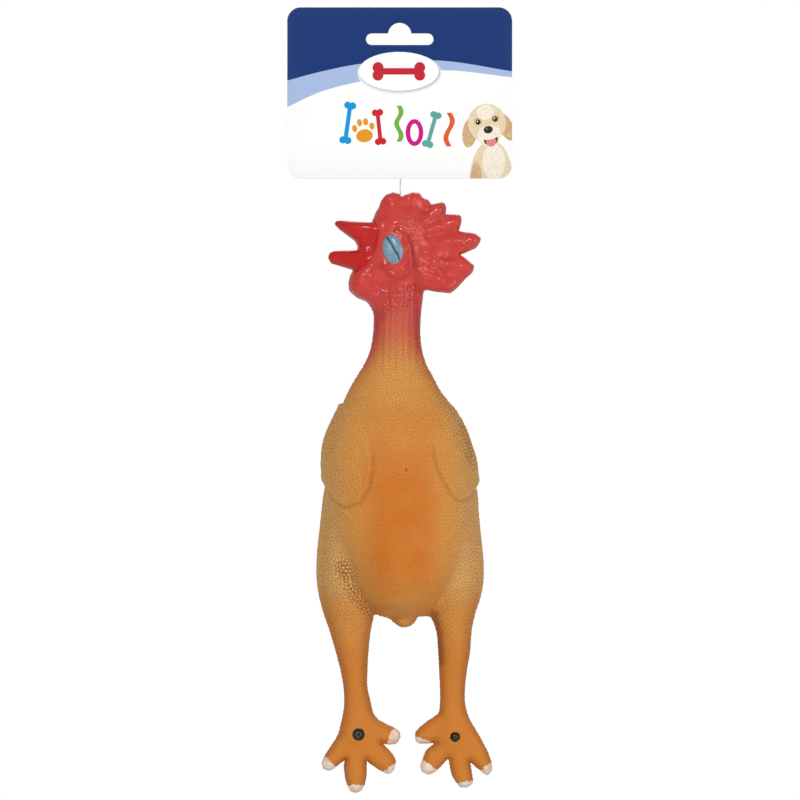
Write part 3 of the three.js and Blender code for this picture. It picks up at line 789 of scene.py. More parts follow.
    def relief(self):
        """Height of the moulded detail over the smooth form."""
        x, y, z = self.rest.T
        values = self.values
        neck = 1 - smoothstep(np.abs(x + 0.5), 8.6, 11.5)
        calm = bell(x, 21) * bell(z + 232, 44) * (1 - smoothstep(y, -12, 0))
        legs = self.below("legs_in")
        strength = np.maximum(self.below("scales_in"), self.below("neck_scales_in") * neck)
        strength *= (1 - 0.4 * calm) * (1 - 0.7 * legs) * (1 - self.below("scales_out"))
        strength *= 1 - 0.4 * smoothstep(np.abs(self.base_normals[:, 0]), 0.85, 1.0)
        strength = np.minimum(strength * (1 + 0.5 * values["groove_shade"]), 1.2)
        columns = self.below("columns_in") * (1 - self.below("columns_out")) * neck
        bent = x + 0.4 * noise(self.rest, 7.0)
        furrow = 0.5 - 0.5 * np.cos(2 * math.pi * bent / COLUMN_PITCH)
        groove = (1 - scale_net(self.rest)) * strength + 0.7 * columns * furrow**3
        values["groove"] = np.minimum(groove, 1.3)
        ripple = np.sin(2 * math.pi * (z / WRINKLE_PITCH + 0.9 * noise(self.rest, 6.0, 2)))
        ripple *= bell(x - 2, 13) * bell(z + 236, 9) * (y < 0)
        ripple *= 0.7 + 0.6 * noise(self.rest, 3.0)
        # Painted shade in the troughs of the belly's wrinkles.
        values["shade"] += 0.16 * np.maximum(-ripple, 0)
        rings = np.sin(2 * math.pi * (z / CREASE_PITCH + 0.6 * noise(self.rest, 6.0)))
        height = SEAM_HEIGHT * values["seam"] - SCALE_GROOVE * values["groove"]
        height += 0.22 * ripple + 0.08 * rings * legs - 0.35 * values["speck"]
        height += 0.35 * self.below("lumps_in") * noise(self.rest, 22.0, 2)
        return height + self.wing_relief() + self.head_relief()

    def wing_relief(self):
        """Raised wings, sunk at their edges, that run out into the shoulders at the top."""
        top = (1 - self.below("wing_top")) * (1 - smoothstep(np.abs(self.rest[:, 0]), 22, 28))
        inside = self.wing / (1 + 5 * top)
        edge = 0.3 * bell(inside - 1.2, 0.9) - 0.5 * bell(inside + 0.6, 0.75)
        raised = WING_RAISE * smoothstep(inside, -0.8, 1.0)
        return self.wing_reach * (raised + edge * (1 - top))

    def head_relief(self):
        """Eyelid, socket ridge, step at the beak's root, and the mottled skin."""
        depth = np.abs(self.rest[:, 1])
        values = self.values
        head = 1 - self.below("face_out")
        lid = 0.55 * smoothstep(values["eye"], -0.3, 1.2) + 0.5 * self.along([EYE_SOCKET], 1.1)
        lid -= 0.5 * bell(values["slit"], 0.5) * smoothstep(values["eye"], 0.3, 1.0)
        height = lid * smoothstep(depth, 3.5, 6.0)
        height -= 0.6 * self.along([NAPE], 1.8) * smoothstep(depth, 1.5, 3.5) * head
        height -= 0.3 * self.along(COMB_FLUTES, 1.6) * smoothstep(depth, 1.5, 3.0)
        height += 0.3 * smoothstep(-values["beak"], -0.8, 1.2) * head
        mottle = (0.08 + 0.22 * values["pebble"]) * noise(self.rest, 2.2)
        lumps = 0.25 * noise(self.rest, 6.0)
        return height + (mottle + lumps) * self.plain * (1 - 0.8 * values["seam"]) * head


# ---- meshes and materials


def add_object(name, mesh):
    piece = bpy.data.objects.new(name, mesh)
    bpy.context.scene.collection.objects.link(piece)
    return piece


def quad_mesh(name, points, quads):
    """A smooth mesh from points in millimetres and rows of four indices."""
    mesh = bpy.data.meshes.new(name)
    mesh.vertices.add(len(points))
    mesh.vertices.foreach_set("co", (points * MM).astype(np.float32).ravel())
    mesh.loops.add(quads.size)
    mesh.loops.foreach_set("vertex_index", quads.astype(np.int32).ravel())
    mesh.polygons.add(len(quads))
    mesh.polygons.foreach_set("loop_start", np.arange(0, quads.size, 4, dtype=np.int32))
    mesh.polygons.foreach_set("use_smooth", np.ones(len(quads), bool))
    mesh.update(calc_edges=True)
    return mesh


def add_attribute(mesh, name, values):
    attribute = mesh.attributes.new(name, "FLOAT", "POINT")
    attribute.data.foreach_set("value", np.asarray(values, np.float32))


def edit(mesh, change):
    """Passes a mesh through bmesh operations."""
    work = bmesh.new()
    work.from_mesh(mesh)
    change(work)
    work.to_mesh(mesh)
    work.free()


def add_rest(mesh, points):
    """Where each vertex is at rest, in millimetres, so that patterns stay on the surface."""
    attribute = mesh.attributes.new("rest", "FLOAT_VECTOR", "POINT")
    attribute.data.foreach_set("vector", points.astype(np.float32).ravel())


def tint(red, green, blue):
    """A shader colour from the 0 to 255 values of a colour on a screen."""
    parts = [c / 255 for c in (red, green, blue)]
    linear = [c / 12.92 if c <= 0.04045 else ((c + 0.055) / 1.055) ** 2.4 for c in parts]
    return (*linear, 1)


MIX_A, MIX_B, MIX_RESULT = 6, 7, 2  # the colour sockets of a Mix node


class Finish:
    """A node material being built; each call adds a node and gives back its output."""

    def __init__(self, name):
        self.material = bpy.data.materials.new(name)
        self.material.use_nodes = True
        self.tree = self.material.node_tree
        self.shader = self.tree.nodes["Principled BSDF"]

    def _new(self, kind):
        return self.tree.nodes.new("ShaderNode" + kind)

    def _set(self, socket, value):
        if isinstance(value, bpy.types.NodeSocket):
            self.tree.links.new(value, socket)
        else:
            socket.default_value = value

    def set(self, **inputs):
        for name, value in inputs.items():
            self._set(self.shader.inputs[name.replace("_", " ")], value)

    def read(self, name, output="Fac"):
        node = self._new("Attribute")
        node.attribute_name = name
        return node.outputs[output]

    def place(self, stretch=1.0):
        """Object coordinates in millimetres, for CAD nodes, which carry no rest attribute."""
        mapping = self._new("Mapping")
        mapping.inputs["Scale"].default_value = (1 / MM, 1 / MM, stretch / MM)
        coordinates = self._new("TexCoord")
        self._set(mapping.inputs["Vector"], coordinates.outputs["Object"])
        return mapping.outputs[0]

    def math(self, operation, *values):
        node = self._new("Math")
        node.operation = operation
        for socket, value in zip(node.inputs, values):
            self._set(socket, value)
        return node.outputs[0]

    def step(self, value, low, high, to_low=0.0, to_high=1.0):
        """Smooth rise from to_low to to_high while value goes from low to high."""
        node = self._new("MapRange")
        node.interpolation_type = "SMOOTHSTEP"
        for name, number in (("From Min", low), ("From Max", high), ("To Min", to_low),
                             ("To Max", to_high), ("Value", value)):
            self._set(node.inputs[name], number)
        return node.outputs[0]

    def mix(self, share, a, b, blend="MIX"):
        node = self._new("Mix")
        node.data_type = "RGBA"
        node.blend_type = blend
        self._set(node.inputs["Factor"], share)
        self._set(node.inputs[MIX_A], a)
        self._set(node.inputs[MIX_B], b)
        return node.outputs[MIX_RESULT]

    def noise(self, where, pitch, detail=2.0, distortion=0.0):
        """Noise from 0 to 1 with features about pitch millimetres across."""
        node = self._new("TexNoise")
        for name, value in (("Vector", where), ("Scale", 1 / pitch), ("Detail", detail),
                            ("Distortion", distortion)):
            self._set(node.inputs[name], value)
        return node.outputs["Fac"]

    def coat(self, base, *coats):
        """Colours laid one over another, each by its share."""
        for share, colour in coats:
            base = self.mix(share, base, tint(*colour))
        return base

    def cells(self, where, pitch):
        """Round domes about pitch millimetres across, 1 at their tops."""
        node = self._new("TexVoronoi")
        self._set(node.inputs["Vector"], where)
        self._set(node.inputs["Scale"], 1 / pitch)
        return self.math("SUBTRACT", 1.0, self.math("POWER", node.outputs["Distance"], 2.0))

    def bump(self, height, depth, before=None):
        """Surface relief; depth is the height of 1, in millimetres."""
        node = self._new("Bump")
        self._set(node.inputs["Height"], height)
        self._set(node.inputs["Distance"], depth * MM)
        if before is not None:
            self._set(node.inputs["Normal"], before)
        return node.outputs["Normal"]


def latex_finish():
    """Painted latex: airbrushed orange body, red head, glossy beak, pale claws and blue lids."""
    made = Finish("painted_latex")
    rest = made.read("rest", "Vector")
    blotch = made.noise(rest, 15.0, 3.0, 0.4)
    speckle = made.noise(rest, 1.5, 3.0)
    pores = made.noise(rest, 0.38, 2.0)

    red = made.read("red")
    head = made.step(red, 0.85, 1.0)
    patch = made.noise(rest, 5.0, 2.0)
    body = made.coat(
        tint(219, 152, 70),
        (made.read("flank"), (220, 169, 99)),
        (made.step(blotch, 0.42, 0.72, 0, 0.3), (222, 160, 80)),
        (made.read("airbrush"), (206, 112, 4)),
        (made.read("foot"), (202, 121, 36)),
        (made.step(speckle, 0.5, 0.75, 0, 0.14), (180, 106, 40)),
        (made.step(red, 0.0, 0.4), (214, 122, 68)),
        (made.step(red, 0.3, 0.68), (208, 90, 60)),
        (made.step(red, 0.58, 0.9), (203, 63, 56)),
        (made.math("MULTIPLY", head, made.step(patch, 0.4, 0.7, 0, 0.6)), (196, 44, 38)),
        (made.math("MULTIPLY", head, made.step(speckle, 0.6, 0.8, 0, 0.3)), (224, 110, 98)),
    )
    # Painted shade: the net of grooves between scales is darkened, more on the flanks and along the
    # thigh fold and upper right flank.
    groove_shade = made.math("MULTIPLY_ADD", made.read("flank"), 0.22, 0.38)
    groove_shade = made.math("MULTIPLY_ADD", made.read("groove_shade"), 0.4, groove_shade)
    groove = made.math("MULTIPLY", made.read("groove"), groove_shade)
    body = made.mix(groove, body, made.mix(red, tint(128, 78, 40), tint(150, 36, 32)))
    # Painted shade: darker colour multiplied into the folds, the wing creases, the wrinkle troughs
    # and where the skin turns away.
    shade = made.mix(red, (0.56, 0.4, 0.3, 1), (0.5, 0.3, 0.32, 1))
    body = made.mix(made.read("shade"), body, shade, "MULTIPLY")
    body = made.coat(body, (made.read("speck"), (60, 34, 20)))

    beak = made.step(made.read("beak"), -0.25, 0.25)
    paint = made.mix(made.step(blotch, 0.4, 0.7), tint(184, 20, 20), tint(196, 28, 25))
    body = made.mix(beak, body, paint)
    wobble = made.math("MULTIPLY_ADD", made.noise(rest, 2.6, 3.0), 3.0, -1.5)
    claw = made.step(made.math("ADD", made.read("claw"), wobble), -0.12, 0.12)
    nail = made.mix(made.step(patch, 0.35, 0.65), tint(226, 196, 168), tint(240, 226, 208))
    body = made.mix(claw, body, nail)
    lid = made.step(made.read("eye"), -0.15, 0.15)
    rim = made.step(made.read("eye"), -0.7, -0.2, 0, 0.5)
    slit = made.step(made.math("ABSOLUTE", made.read("slit")), EYE_SLIT_HALF - 0.1,
                     EYE_SLIT_HALF + 0.12)
    iris = made.coat(tint(106, 142, 160),
                     (made.step(speckle, 0.4, 0.7, 0, 0.5), (134, 166, 182)))
    iris = made.mix(slit, tint(30, 40, 50), iris)
    body = made.mix(lid, made.coat(body, (rim, (150, 72, 96))), iris)
    # Painted shade: a dark brown line along the mould seam, where the outline turns away.
    body = made.coat(body, (made.math("MULTIPLY", made.read("seam"), 0.5), (96, 46, 26)))
    made.set(Base_Color=body)

    gloss = made.step(blotch, 0.3, 0.7, 0.64, 0.74)
    gloss = made.math("MULTIPLY_ADD", made.step(red, 0.45, 1.0), -0.47, gloss)
    for share in (made.read("pebble"), beak, lid):
        gloss = made.math("MULTIPLY_ADD", share, -0.04, gloss)
    made.set(Roughness=gloss)

    pebbles = made.math("MULTIPLY", made.read("pebble"), made.cells(rest, 1.9))
    normal = made.bump(pores, 0.035)
    made.set(Normal=made.bump(pebbles, 0.7, normal))
    made.shader.inputs["Specular IOR Level"].default_value = 0.38
    return made.material


# ---- dividing the skin

CUTS = {"head": -132.0, "neck_top": -145.5, "neck_mid": -159.5, "neck_base": -173.0,
        "torso": -282.5, "hip": -296.5, "knee": -311.0, "ankle": -327.0}
TAIL_KEEP = 12.0  # half width of the tail nub's share of the torso piece
JAW_START = 0.3
JAW_END = 7.0
JAW_LINE = (-0.913, 0.408)  # from the mouth's corner towards the tip of the lower beak


def skin_shares(skin):
    """For every piece of skin: name, faces, bodies, start and end of its bend, CAD nodes, slot."""
    centre = skin.rest[skin.quads].mean(axis=1)
    x, z = centre[:, 0], centre[:, 2]
    forward = (x - MOUTH_CORNER[0]) * JAW_LINE[0] + (z - MOUTH_CORNER[1]) * JAW_LINE[1]
    jaw = (forward > 0) & (z < MOUTH_CORNER[1] + 0.3) & (z > -119)
    start = [MOUTH_CORNER[k] + JAW_START * JAW_LINE[k] for k in range(2)]
    end = [MOUTH_CORNER[k] + JAW_END * JAW_LINE[k] for k in range(2)]
    shares = [
        ("skin_head", (z > CUTS["head"]) & ~jaw, ("head",), None, None, ["head"], "red_latex"),
        ("skin_lower_beak", jaw, ("head", "jaw"), (start[0], 0, start[1]), (end[0], 0, end[1]),
         ["lower_beak", "jaw_web"], "beak_latex"),
    ]

    def ring(name, above, below, bodies, bend, nodes, slot, where=True):
        faces = (z <= CUTS[above]) & (z > CUTS.get(below, -1e9)) & where
        start = (x[faces].mean(), 0, bend[0])
        shares.append((name, faces, bodies, start, (start[0], 0, bend[1]), nodes, slot))

    ring("skin_neck_top", "head", "neck_top", ("head", "neck_upper"), (-132.0, -144.0),
         ["neck_top_flex", "neck_upper"], "red_latex")
    ring("skin_neck_middle", "neck_top", "neck_mid", ("neck_upper", "neck_lower"),
         (-147.0, -159.0), ["neck_mid_flex"], "orange_latex")
    ring("skin_neck_base", "neck_mid", "neck_base", ("neck_lower", "torso"), (-160.5, -172.5),
         ["neck_lower", "neck_base_flex"], "orange_latex")
    tail = np.abs(x - TAIL_CENTRE[0]) < TAIL_KEEP
    torso = (z <= CUTS["neck_base"]) & ((z > CUTS["torso"]) | ((z > CUTS["hip"]) & tail))
    shares.append(("skin_torso", torso, ("torso", "belly"), (0, -17.5, -232), (0, -36, -232),
                   ["torso", "belly_panel"], "orange_latex"))
    for side, sign in (("right", -1), ("left", 1)):
        leg = (sign * (x - TAIL_CENTRE[0]) > 0) & ~torso
        ring(f"skin_{side}_hip", "torso", "hip", ("torso", f"{side}_thigh"), (-282.5, -295.0),
             [f"{side}_hip_flex", f"{side}_thigh"], "leg_latex", leg)
        ring(f"skin_{side}_knee", "hip", "knee", (f"{side}_thigh", f"{side}_shank"),
             (-298.0, -309.0), [f"{side}_knee_flex", f"{side}_shank"], "leg_latex", leg)
        ring(f"skin_{side}_ankle", "knee", "ankle", (f"{side}_shank", f"{side}_foot"),
             (-314.5, -326.5), [f"{side}_ankle_flex"], "leg_latex", leg)
        ring(f"skin_{side}_foot", "ankle", "", (f"{side}_foot",), (0, 0),
             [f"{side}_foot"], "foot_latex", leg)
    return shares


def add_skin():
    skin = Skin()
    latex = latex_finish()
    for name, faces, bodies, start, end, nodes, slot in skin_shares(skin):
        used, flat = np.unique(skin.quads[faces], return_inverse=True)
        mesh = quad_mesh(name, skin.points[used], flat.reshape(-1, 4))
        mesh.normals_split_custom_set_from_vertices(skin.normals[used].tolist())
        add_rest(mesh, skin.rest[used])
        for kind in ("red", "airbrush", "flank", "foot", "groove", "beak", "claw", "eye", "slit",
                     "seam", "shade", "pebble", "groove_shade", "speck"):
            add_attribute(mesh, kind, skin.values[kind][used])
        mesh.materials.append(latex)
        piece = add_object(name, mesh)
        if len(bodies) == 1:
            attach(piece, bodies[0])
        else:
            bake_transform(piece)
        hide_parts(*nodes)


# ---- the header card

CARD_HALF = 53.35
CARD_TOP = 7.4
CARD_BOTTOM = -73.8
CARD_CORNER = 6.5
PLY_FACES = {"front": (-1.15, -0.75), "back": (1.15, 0.75)}  # outer and inner face, along Y
SLOT_HALF = 16.0
SLOT_MIDDLE = -7.75
SLOT_END = 2.75
SLOT_BUMP = 5.5

DEEP_BLUE = tint(16, 51, 113)
PALE_BLUE = tint(166, 185, 222)
PAPER = tint(249, 249, 248)
LABEL_SHADES = ((0.9, tint(236, 238, 243)), (0.54, tint(216, 219, 227)),
                (0.225, tint(186, 190, 200)))  # how far out from the label, and colour
BLUE_EDGE = [(-53.4, -27.4), (-36.0, -22.8), (-18.3, -19.4), (0.0, -17.9), (18.7, -17.9),
             (53.4, -23.0)]
PALE_EDGE = [(-53.4, -40.0), (-38.6, -33.1), (-18.3, -27.7), (5.0, -23.4), (18.7, -22.5),
             (53.4, -25.8)]
LABEL = (-0.4, -23.0, 19.0, 9.2)


def arc(x, z, radius_x, radius_z, start=0.0, end=360.0, count=48):
    turns = np.radians(np.linspace(start, end, count, endpoint=end - start < 360))
    return [(x + radius_x * math.cos(a), z + radius_z * math.sin(a)) for a in turns]


def card_outline():
    right, left = CARD_HALF - CARD_CORNER, CARD_CORNER - CARD_HALF
    top, bottom = CARD_TOP - CARD_CORNER, CARD_BOTTOM + CARD_CORNER
    corners = [(right, top, 0), (left, top, 90), (left, bottom, 180), (right, bottom, 270)]
    outline = []
    for x, z, start in corners:
        outline += arc(x, z, CARD_CORNER, CARD_CORNER, start, start + 90, 14)
    return outline


def slot_outline():
    """A slot with round ends and a half-round rise in its middle, where the peg sits."""
    rise = math.degrees(math.asin((SLOT_MIDDLE + SLOT_END + SLOT_BUMP) / SLOT_BUMP))
    reach = SLOT_HALF - SLOT_END
    return (
        arc(0, -SLOT_BUMP, SLOT_BUMP, SLOT_BUMP, rise, 180 - rise, 24)
        + arc(-reach, SLOT_MIDDLE, SLOT_END, SLOT_END, 90, 270, 14)
        + arc(reach, SLOT_MIDDLE, SLOT_END, SLOT_END, -90, 90, 14)
    )


def band(edge):
    """From above the card's top down to a smooth edge."""
    knots = np.array(edge)
    xs = np.linspace(knots[0, 0], knots[-1, 0], 40)
    lower = list(zip(xs, through(xs, knots[:, 0], knots[:, 1])))
    return [(CARD_HALF + 1, CARD_TOP + 1), (-CARD_HALF - 1, CARD_TOP + 1)] + lower


def turned(x, z, lean, outline):
    cos, sin = math.cos(math.radians(lean)), math.sin(math.radians(lean))
    return [(x + u * cos - v * sin, z + u * sin + v * cos) for u, v in outline]


def bone(x, z, length, knob, lean):
    """A bone drawn as a bar and four round knobs."""
    half = length / 2 - knob
    shapes = [[(-half, -0.6 * knob), (half, -0.6 * knob), (half, 0.6 * knob), (-half, 0.6 * knob)]]
    shapes += [arc(u, v, knob, knob) for u in (-half, half) for v in (-0.7 * knob, 0.7 * knob)]
    return [turned(x, z, lean, shape) for shape in shapes]


def paw(x, z, size, lean):
    """A paw print: one pad and four toes."""
    shapes = [arc(0, -0.25 * size, 0.46 * size, 0.36 * size)]
    for u, v in ((-0.48, 0.22), (-0.17, 0.5), (0.17, 0.5), (0.48, 0.22)):
        shapes.append(arc(u * size, v * size, 0.14 * size, 0.2 * size, count=24))
    return [turned(x, z, lean, shape) for shape in shapes]


def wave(x, z, length, swing, half_width, turns):
    """An upright wavy ribbon."""
    share = np.linspace(0, 1, 30)
    middle = x + swing * np.sin(2 * math.pi * turns * share)
    heights = z + length * (0.5 - share)
    right = list(zip(middle + half_width, heights))
    left = list(zip(middle - half_width, heights))
    return [right + left[::-1]]


PUPPY_MIDDLE = (41.4, -47.5)
PUPPY_LEAN = 10


def puppy():
    """A plain drawn puppy in the card's lower right corner, its head leaning a little."""
    cream, tan, pale = tint(232, 214, 180), tint(206, 171, 122), tint(247, 239, 222)
    dark, pink, mouth = tint(52, 42, 38), tint(224, 130, 128), tint(96, 54, 48)

    def on_face(u, v, half_u, half_v, lean=0, count=32):
        shape = turned(u, v, lean, arc(0, 0, half_u, half_v, count=count))
        return turned(*PUPPY_MIDDLE, PUPPY_LEAN, shape)

    layers = [
        (arc(43.4, -75.0, 10.2, 19.5), cream, 1),
        (arc(36.2, -78.0, 3.0, 12.0), tan, 1),
        (arc(44.6, -66.0, 5.4, 8.6), pale, 1),
        (on_face(-8.8, -3.0, 3.5, 7.2, -18), tan, 1),
        (on_face(8.6, -3.4, 3.3, 7.0, 16), tan, 1),
        (on_face(0, 0, 9.0, 9.2), cream, 1),
        (on_face(0, 5.2, 4.2, 3.6), pale, 1),
        (on_face(0, -6.0, 5.6, 5.0), pale, 1),
        (on_face(0.4, -8.2, 3.4, 2.6), mouth, 0),
        (on_face(0.4, -9.0, 2.4, 2.4), pink, 0),
        (on_face(0, -5.6, 4.6, 2.4), pale, 1),
        (on_face(0, -3.2, 2.2, 1.8), dark, 0),
        (on_face(-0.6, -2.6, 0.6, 0.4, count=12), tint(120, 112, 108), 0),
    ]
    for side in (-1, 1):
        layers += [
            (on_face(side * 4.2, 1.4, 1.9, 1.7), tan, 1),
            (on_face(side * 4.1, 1.2, 1.15, 1.25), dark, 0),
            (on_face(side * 4.1 - 0.3, 1.6, 0.35, 0.35, count=12), PAPER, 0),
        ]
    return layers


def card_print():
    """Printed areas from the bottom layer up: outline, colour, and 1 where it is furry."""
    x, z, half_x, half_z = LABEL
    layers = [(band(PALE_EDGE), PALE_BLUE, 0), (band(BLUE_EDGE), DEEP_BLUE, 0)]
    for reach, colour in LABEL_SHADES:
        layers += [(arc(x + 0.3, z - reach, half_x + reach, half_z + reach), colour, 0)]
    layers += [(arc(x, z, half_x, half_z), PAPER, 0)]
    layers += [(part, tint(196, 36, 50), 0) for part in bone(x, z, 25, 2.6, 0)]
    signs = [
        (bone(-24.6, -47.4, 20, 1.7, 82), tint(0, 150, 216)),
        (paw(-17.0, -51.4, 8.6, 8), tint(226, 150, 34)),
        (bone(-9.8, -49.4, 17, 1.6, 96), tint(204, 30, 48)),
        (wave(-0.4, -47.8, 17, 1.1, 1.15, 1.5), tint(110, 174, 64)),
        ([arc(7.0, -52.0, 4.2, 6.4)], tint(204, 12, 132)),
        (bone(15.2, -50.6, 17.5, 1.6, 74), tint(92, 165, 156)),
        (wave(23.4, -50.6, 16, 1.5, 1.2, 1.0), tint(220, 92, 48)),
    ]
    layers += [(part, colour, 0) for parts, colour in signs for part in parts]
    layers += [(arc(7.0, -52.0, 2.0, 4.2), PAPER, 0)]
    return layers + puppy()


def card_face(layers):
    """Triangles of the card's outline without its slot, cut along every printed edge."""
    outline, slot = card_outline(), slot_outline()
    points, edges = [], []
    for shape in [outline, slot] + [layer[0] for layer in layers]:
        first = len(points)
        points += [Vector(p) for p in shape]
        edges += [(first + k, first + (k + 1) % len(shape)) for k in range(len(shape))]
    found = geometry.delaunay_2d_cdt(points, edges, [], 0, 1e-5)
    flat = np.array([tuple(p) for p in found[0]])
    faces = np.array(found[2])
    middle = flat[faces].mean(axis=1)
    keep = (polygon_distance(*middle.T, outline) < 0) & (polygon_distance(*middle.T, slot) > 0)
    return flat, faces[keep], middle[keep]


def drop_loose(work):
    loose = [v for v in work.verts if not v.link_faces]
    bmesh.ops.delete(work, geom=loose, context="VERTS")


def add_ply(side, layers, finish):
    """One ply of the board, with its printed areas as colours of its outer faces."""
    outer, inner = PLY_FACES[side]
    flat, faces, middle = card_face(layers)
    paint = np.tile(np.append(PAPER[:3], 0.0), (len(faces), 1))
    for outline, colour, fur in layers:
        inside = polygon_distance(*middle.T, outline) < 0
        paint[inside] = (*colour[:3], fur)
    if outer > 0:
        faces = faces[:, ::-1]
    sides = {(a, b) for face in faces for a, b in zip(face, np.roll(face, -1))}
    rim = sorted((a, b) for a, b in sides if (b, a) not in sides)
    count = len(flat)
    points = [(x, outer, z) for x, z in flat] + [(x, inner, z) for x, z in flat]
    whole = [tuple(face) for face in faces]
    whole += [tuple(count + face[::-1]) for face in faces]
    whole += [(b, a, a + count, b + count) for a, b in rim]
    mesh = bpy.data.meshes.new(f"card_{side}_print")
    mesh.from_pydata((np.array(points) * MM).tolist(), [], whole)
    cut_edge = np.tile(np.append(tint(236, 233, 226)[:3], 0.0), (len(faces) + len(rim), 1))
    corners = np.repeat(np.vstack([paint, cut_edge]), [len(row) for row in whole], axis=0)
    attribute = mesh.attributes.new("print", "FLOAT_COLOR", "CORNER")
    attribute.data.foreach_set("color", corners.astype(np.float32).ravel())
    add_rest(mesh, np.array(points))
    mesh.materials.append(finish)
    mesh.validate()
    edit(mesh, drop_loose)
    piece = add_object(f"card_{side}_print", mesh)
    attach(piece, "header_card")
    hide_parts(f"card_{side}_ply")


def card_edge(made, rest):
    """Millimetres outside the card's outline, negative on the card."""
    apart = made.tree.nodes.new("ShaderNodeSeparateXYZ")
    made.tree.links.new(rest, apart.inputs[0])
    middle = (CARD_TOP + CARD_BOTTOM) / 2
    reach_x = CARD_HALF - CARD_CORNER
    reach_z = (CARD_TOP - CARD_BOTTOM) / 2 - CARD_CORNER
    across = made.math("SUBTRACT", made.math("ABSOLUTE", apart.outputs[0]), reach_x)
    along = made.math("ABSOLUTE", made.math("SUBTRACT", apart.outputs[2], middle))
    along = made.math("SUBTRACT", along, reach_z)
    across = made.math("MAXIMUM", across, 0.0)
    along = made.math("MAXIMUM", along, 0.0)
    square = made.math("ADD", made.math("POWER", across, 2.0), made.math("POWER", along, 2.0))
    return made.math("SUBTRACT", made.math("SQRT", square), CARD_CORNER), apart.outputs[2]


def card_finish(name, roughness, speck):
    """Coated board: its print, faint mottle, painted shade towards its bottom and edges, fur strokes
    on the puppy and rubbed edges.
    """
    made = Finish(name)
    rest = made.read("rest", "Vector")
    fibres = made.noise(rest, 0.5, 4.0, 1.5)
    cloud = made.noise(rest, 14.0, 3.0)
    strokes = made.noise(rest, 0.9, 4.0, 2.5)
    edge, height = card_edge(made, rest)
    furry = made.read("print", "Alpha")
    fur = made.math("MULTIPLY", furry, made.step(strokes, 0.42, 0.66, 0, 0.3))
    tufts = made.step(made.noise(rest, 2.4, 3.0, 1.0), 0.5, 0.7, 0, 0.3)
    # Painted shade: the board greys slightly towards its bottom and its edges, with a faint mottle.
    shade = made.math("ADD", made.step(height, -56, -74, 0, 0.05), made.step(edge, -7, 0, 0, 0.03))
    shade = made.math("ADD", shade, made.step(cloud, 0.4, 0.8, 0, 0.01))
    shade_and_wear = made.math("ADD", edge, made.math("MULTIPLY", fibres, 0.5))
    colour = made.coat(
        made.read("print", "Color"),
        (fur, (176, 138, 92)),
        (made.math("MULTIPLY", furry, tufts), (250, 244, 232)),
        (shade, (120, 128, 146)),
        (made.step(fibres, 0.5, 0.9, 0, speck), (120, 112, 100)),
        (made.step(shade_and_wear, 0.1, 0.22, 0, 0.7), (240, 238, 232)),
    )
    made.set(Base_Color=colour)
    made.set(Roughness=made.step(cloud, 0.3, 0.7, roughness, roughness + 0.08))
    made.set(Normal=made.bump(fibres, 0.02))
    made.shader.inputs["Specular IOR Level"].default_value = 0.12
    return made.material


def add_card():
    add_ply("front", card_print(), card_finish("card_print", 0.45, 0.02))
    add_ply("back", [], card_finish("card_plain", 0.7, 0.22))


# ---- pin, squeaker and stopper

PIN_X = 0.3
STRAND_RADIUS = 0.35
STRAND_TOP = -73.2
STRAND_BOTTOM = -85.0


def tube_quads(rows, count):
    """Rows of vertices round a tube, joined to their neighbours and to the next row."""
    first = np.arange(count)
    after = (first + 1) % count
    ring = np.stack([first, after, after + count, first + count], axis=1)
    return np.concatenate([ring + row * count for row in range(rows - 1)])


def close_up(work):
    bmesh.ops.remove_doubles(work, verts=work.verts, dist=0.00001)
    bmesh.ops.recalc_face_normals(work, faces=work.faces)


def lathe(name, axis, profile, finish, ripple=0.0, lobes=6, count=72):
    """Turns (radius, y) rows about an axis along Y; ripple waves the middle rows round it."""
    turns = 2 * math.pi * np.arange(count) / count
    points = []
    top = max(radius for radius, _ in profile)
    for radius, y in profile:
        wave = ripple * math.sin(math.pi * radius / top) * np.cos(lobes * turns)
        points += zip(axis[0] + radius * np.cos(turns), y + wave, axis[1] + radius * np.sin(turns))
    points = np.array(points)
    mesh = quad_mesh(name, points, tube_quads(len(profile), count))
    add_rest(mesh, points)
    mesh.materials.append(finish)
    edit(mesh, close_up)
    for polygon in mesh.polygons:
        polygon.use_smooth = True
    return add_object(name, mesh)


def plastic_finish(name, colour, dust, roughness, speck, on_cad=False):
    """Moulded plastic with flow marks, fine scuffs and dust in its hollows."""
    made = Finish(name)
    rest = made.place() if on_cad else made.read("rest", "Vector")
    flow = made.noise(rest, 2.2, 3.0, 1.2)
    scuff = made.noise(rest, 0.25, 4.0, 3.0)
    shade = made.mix(made.step(flow, 0.35, 0.7, 0, 0.5), colour, dust)
    made.set(Base_Color=made.mix(made.step(scuff, 0.6, 0.8, 0, speck), shade, tint(190, 186, 178)))
    made.set(Roughness=made.step(scuff, 0.35, 0.75, roughness, roughness + 0.2))
    made.set(Normal=made.bump(scuff, 0.012))
    return made.material


def nylon_finish(name):
    """Drawn nylon, with its marks stretched along the strand."""
    made = Finish(name)
    drawn = made.noise(made.place(0.2), 0.35, 3.0)
    colour = made.mix(made.step(drawn, 0.35, 0.7), tint(214, 216, 220), tint(240, 241, 244))
    made.set(Base_Color=colour)
    made.set(Roughness=made.step(drawn, 0.3, 0.7, 0.22, 0.36))
    made.shader.inputs["Transmission Weight"].default_value = 0.35
    made.shader.inputs["IOR"].default_value = 1.53
    made.set(Normal=made.bump(drawn, 0.02))
    return made.material


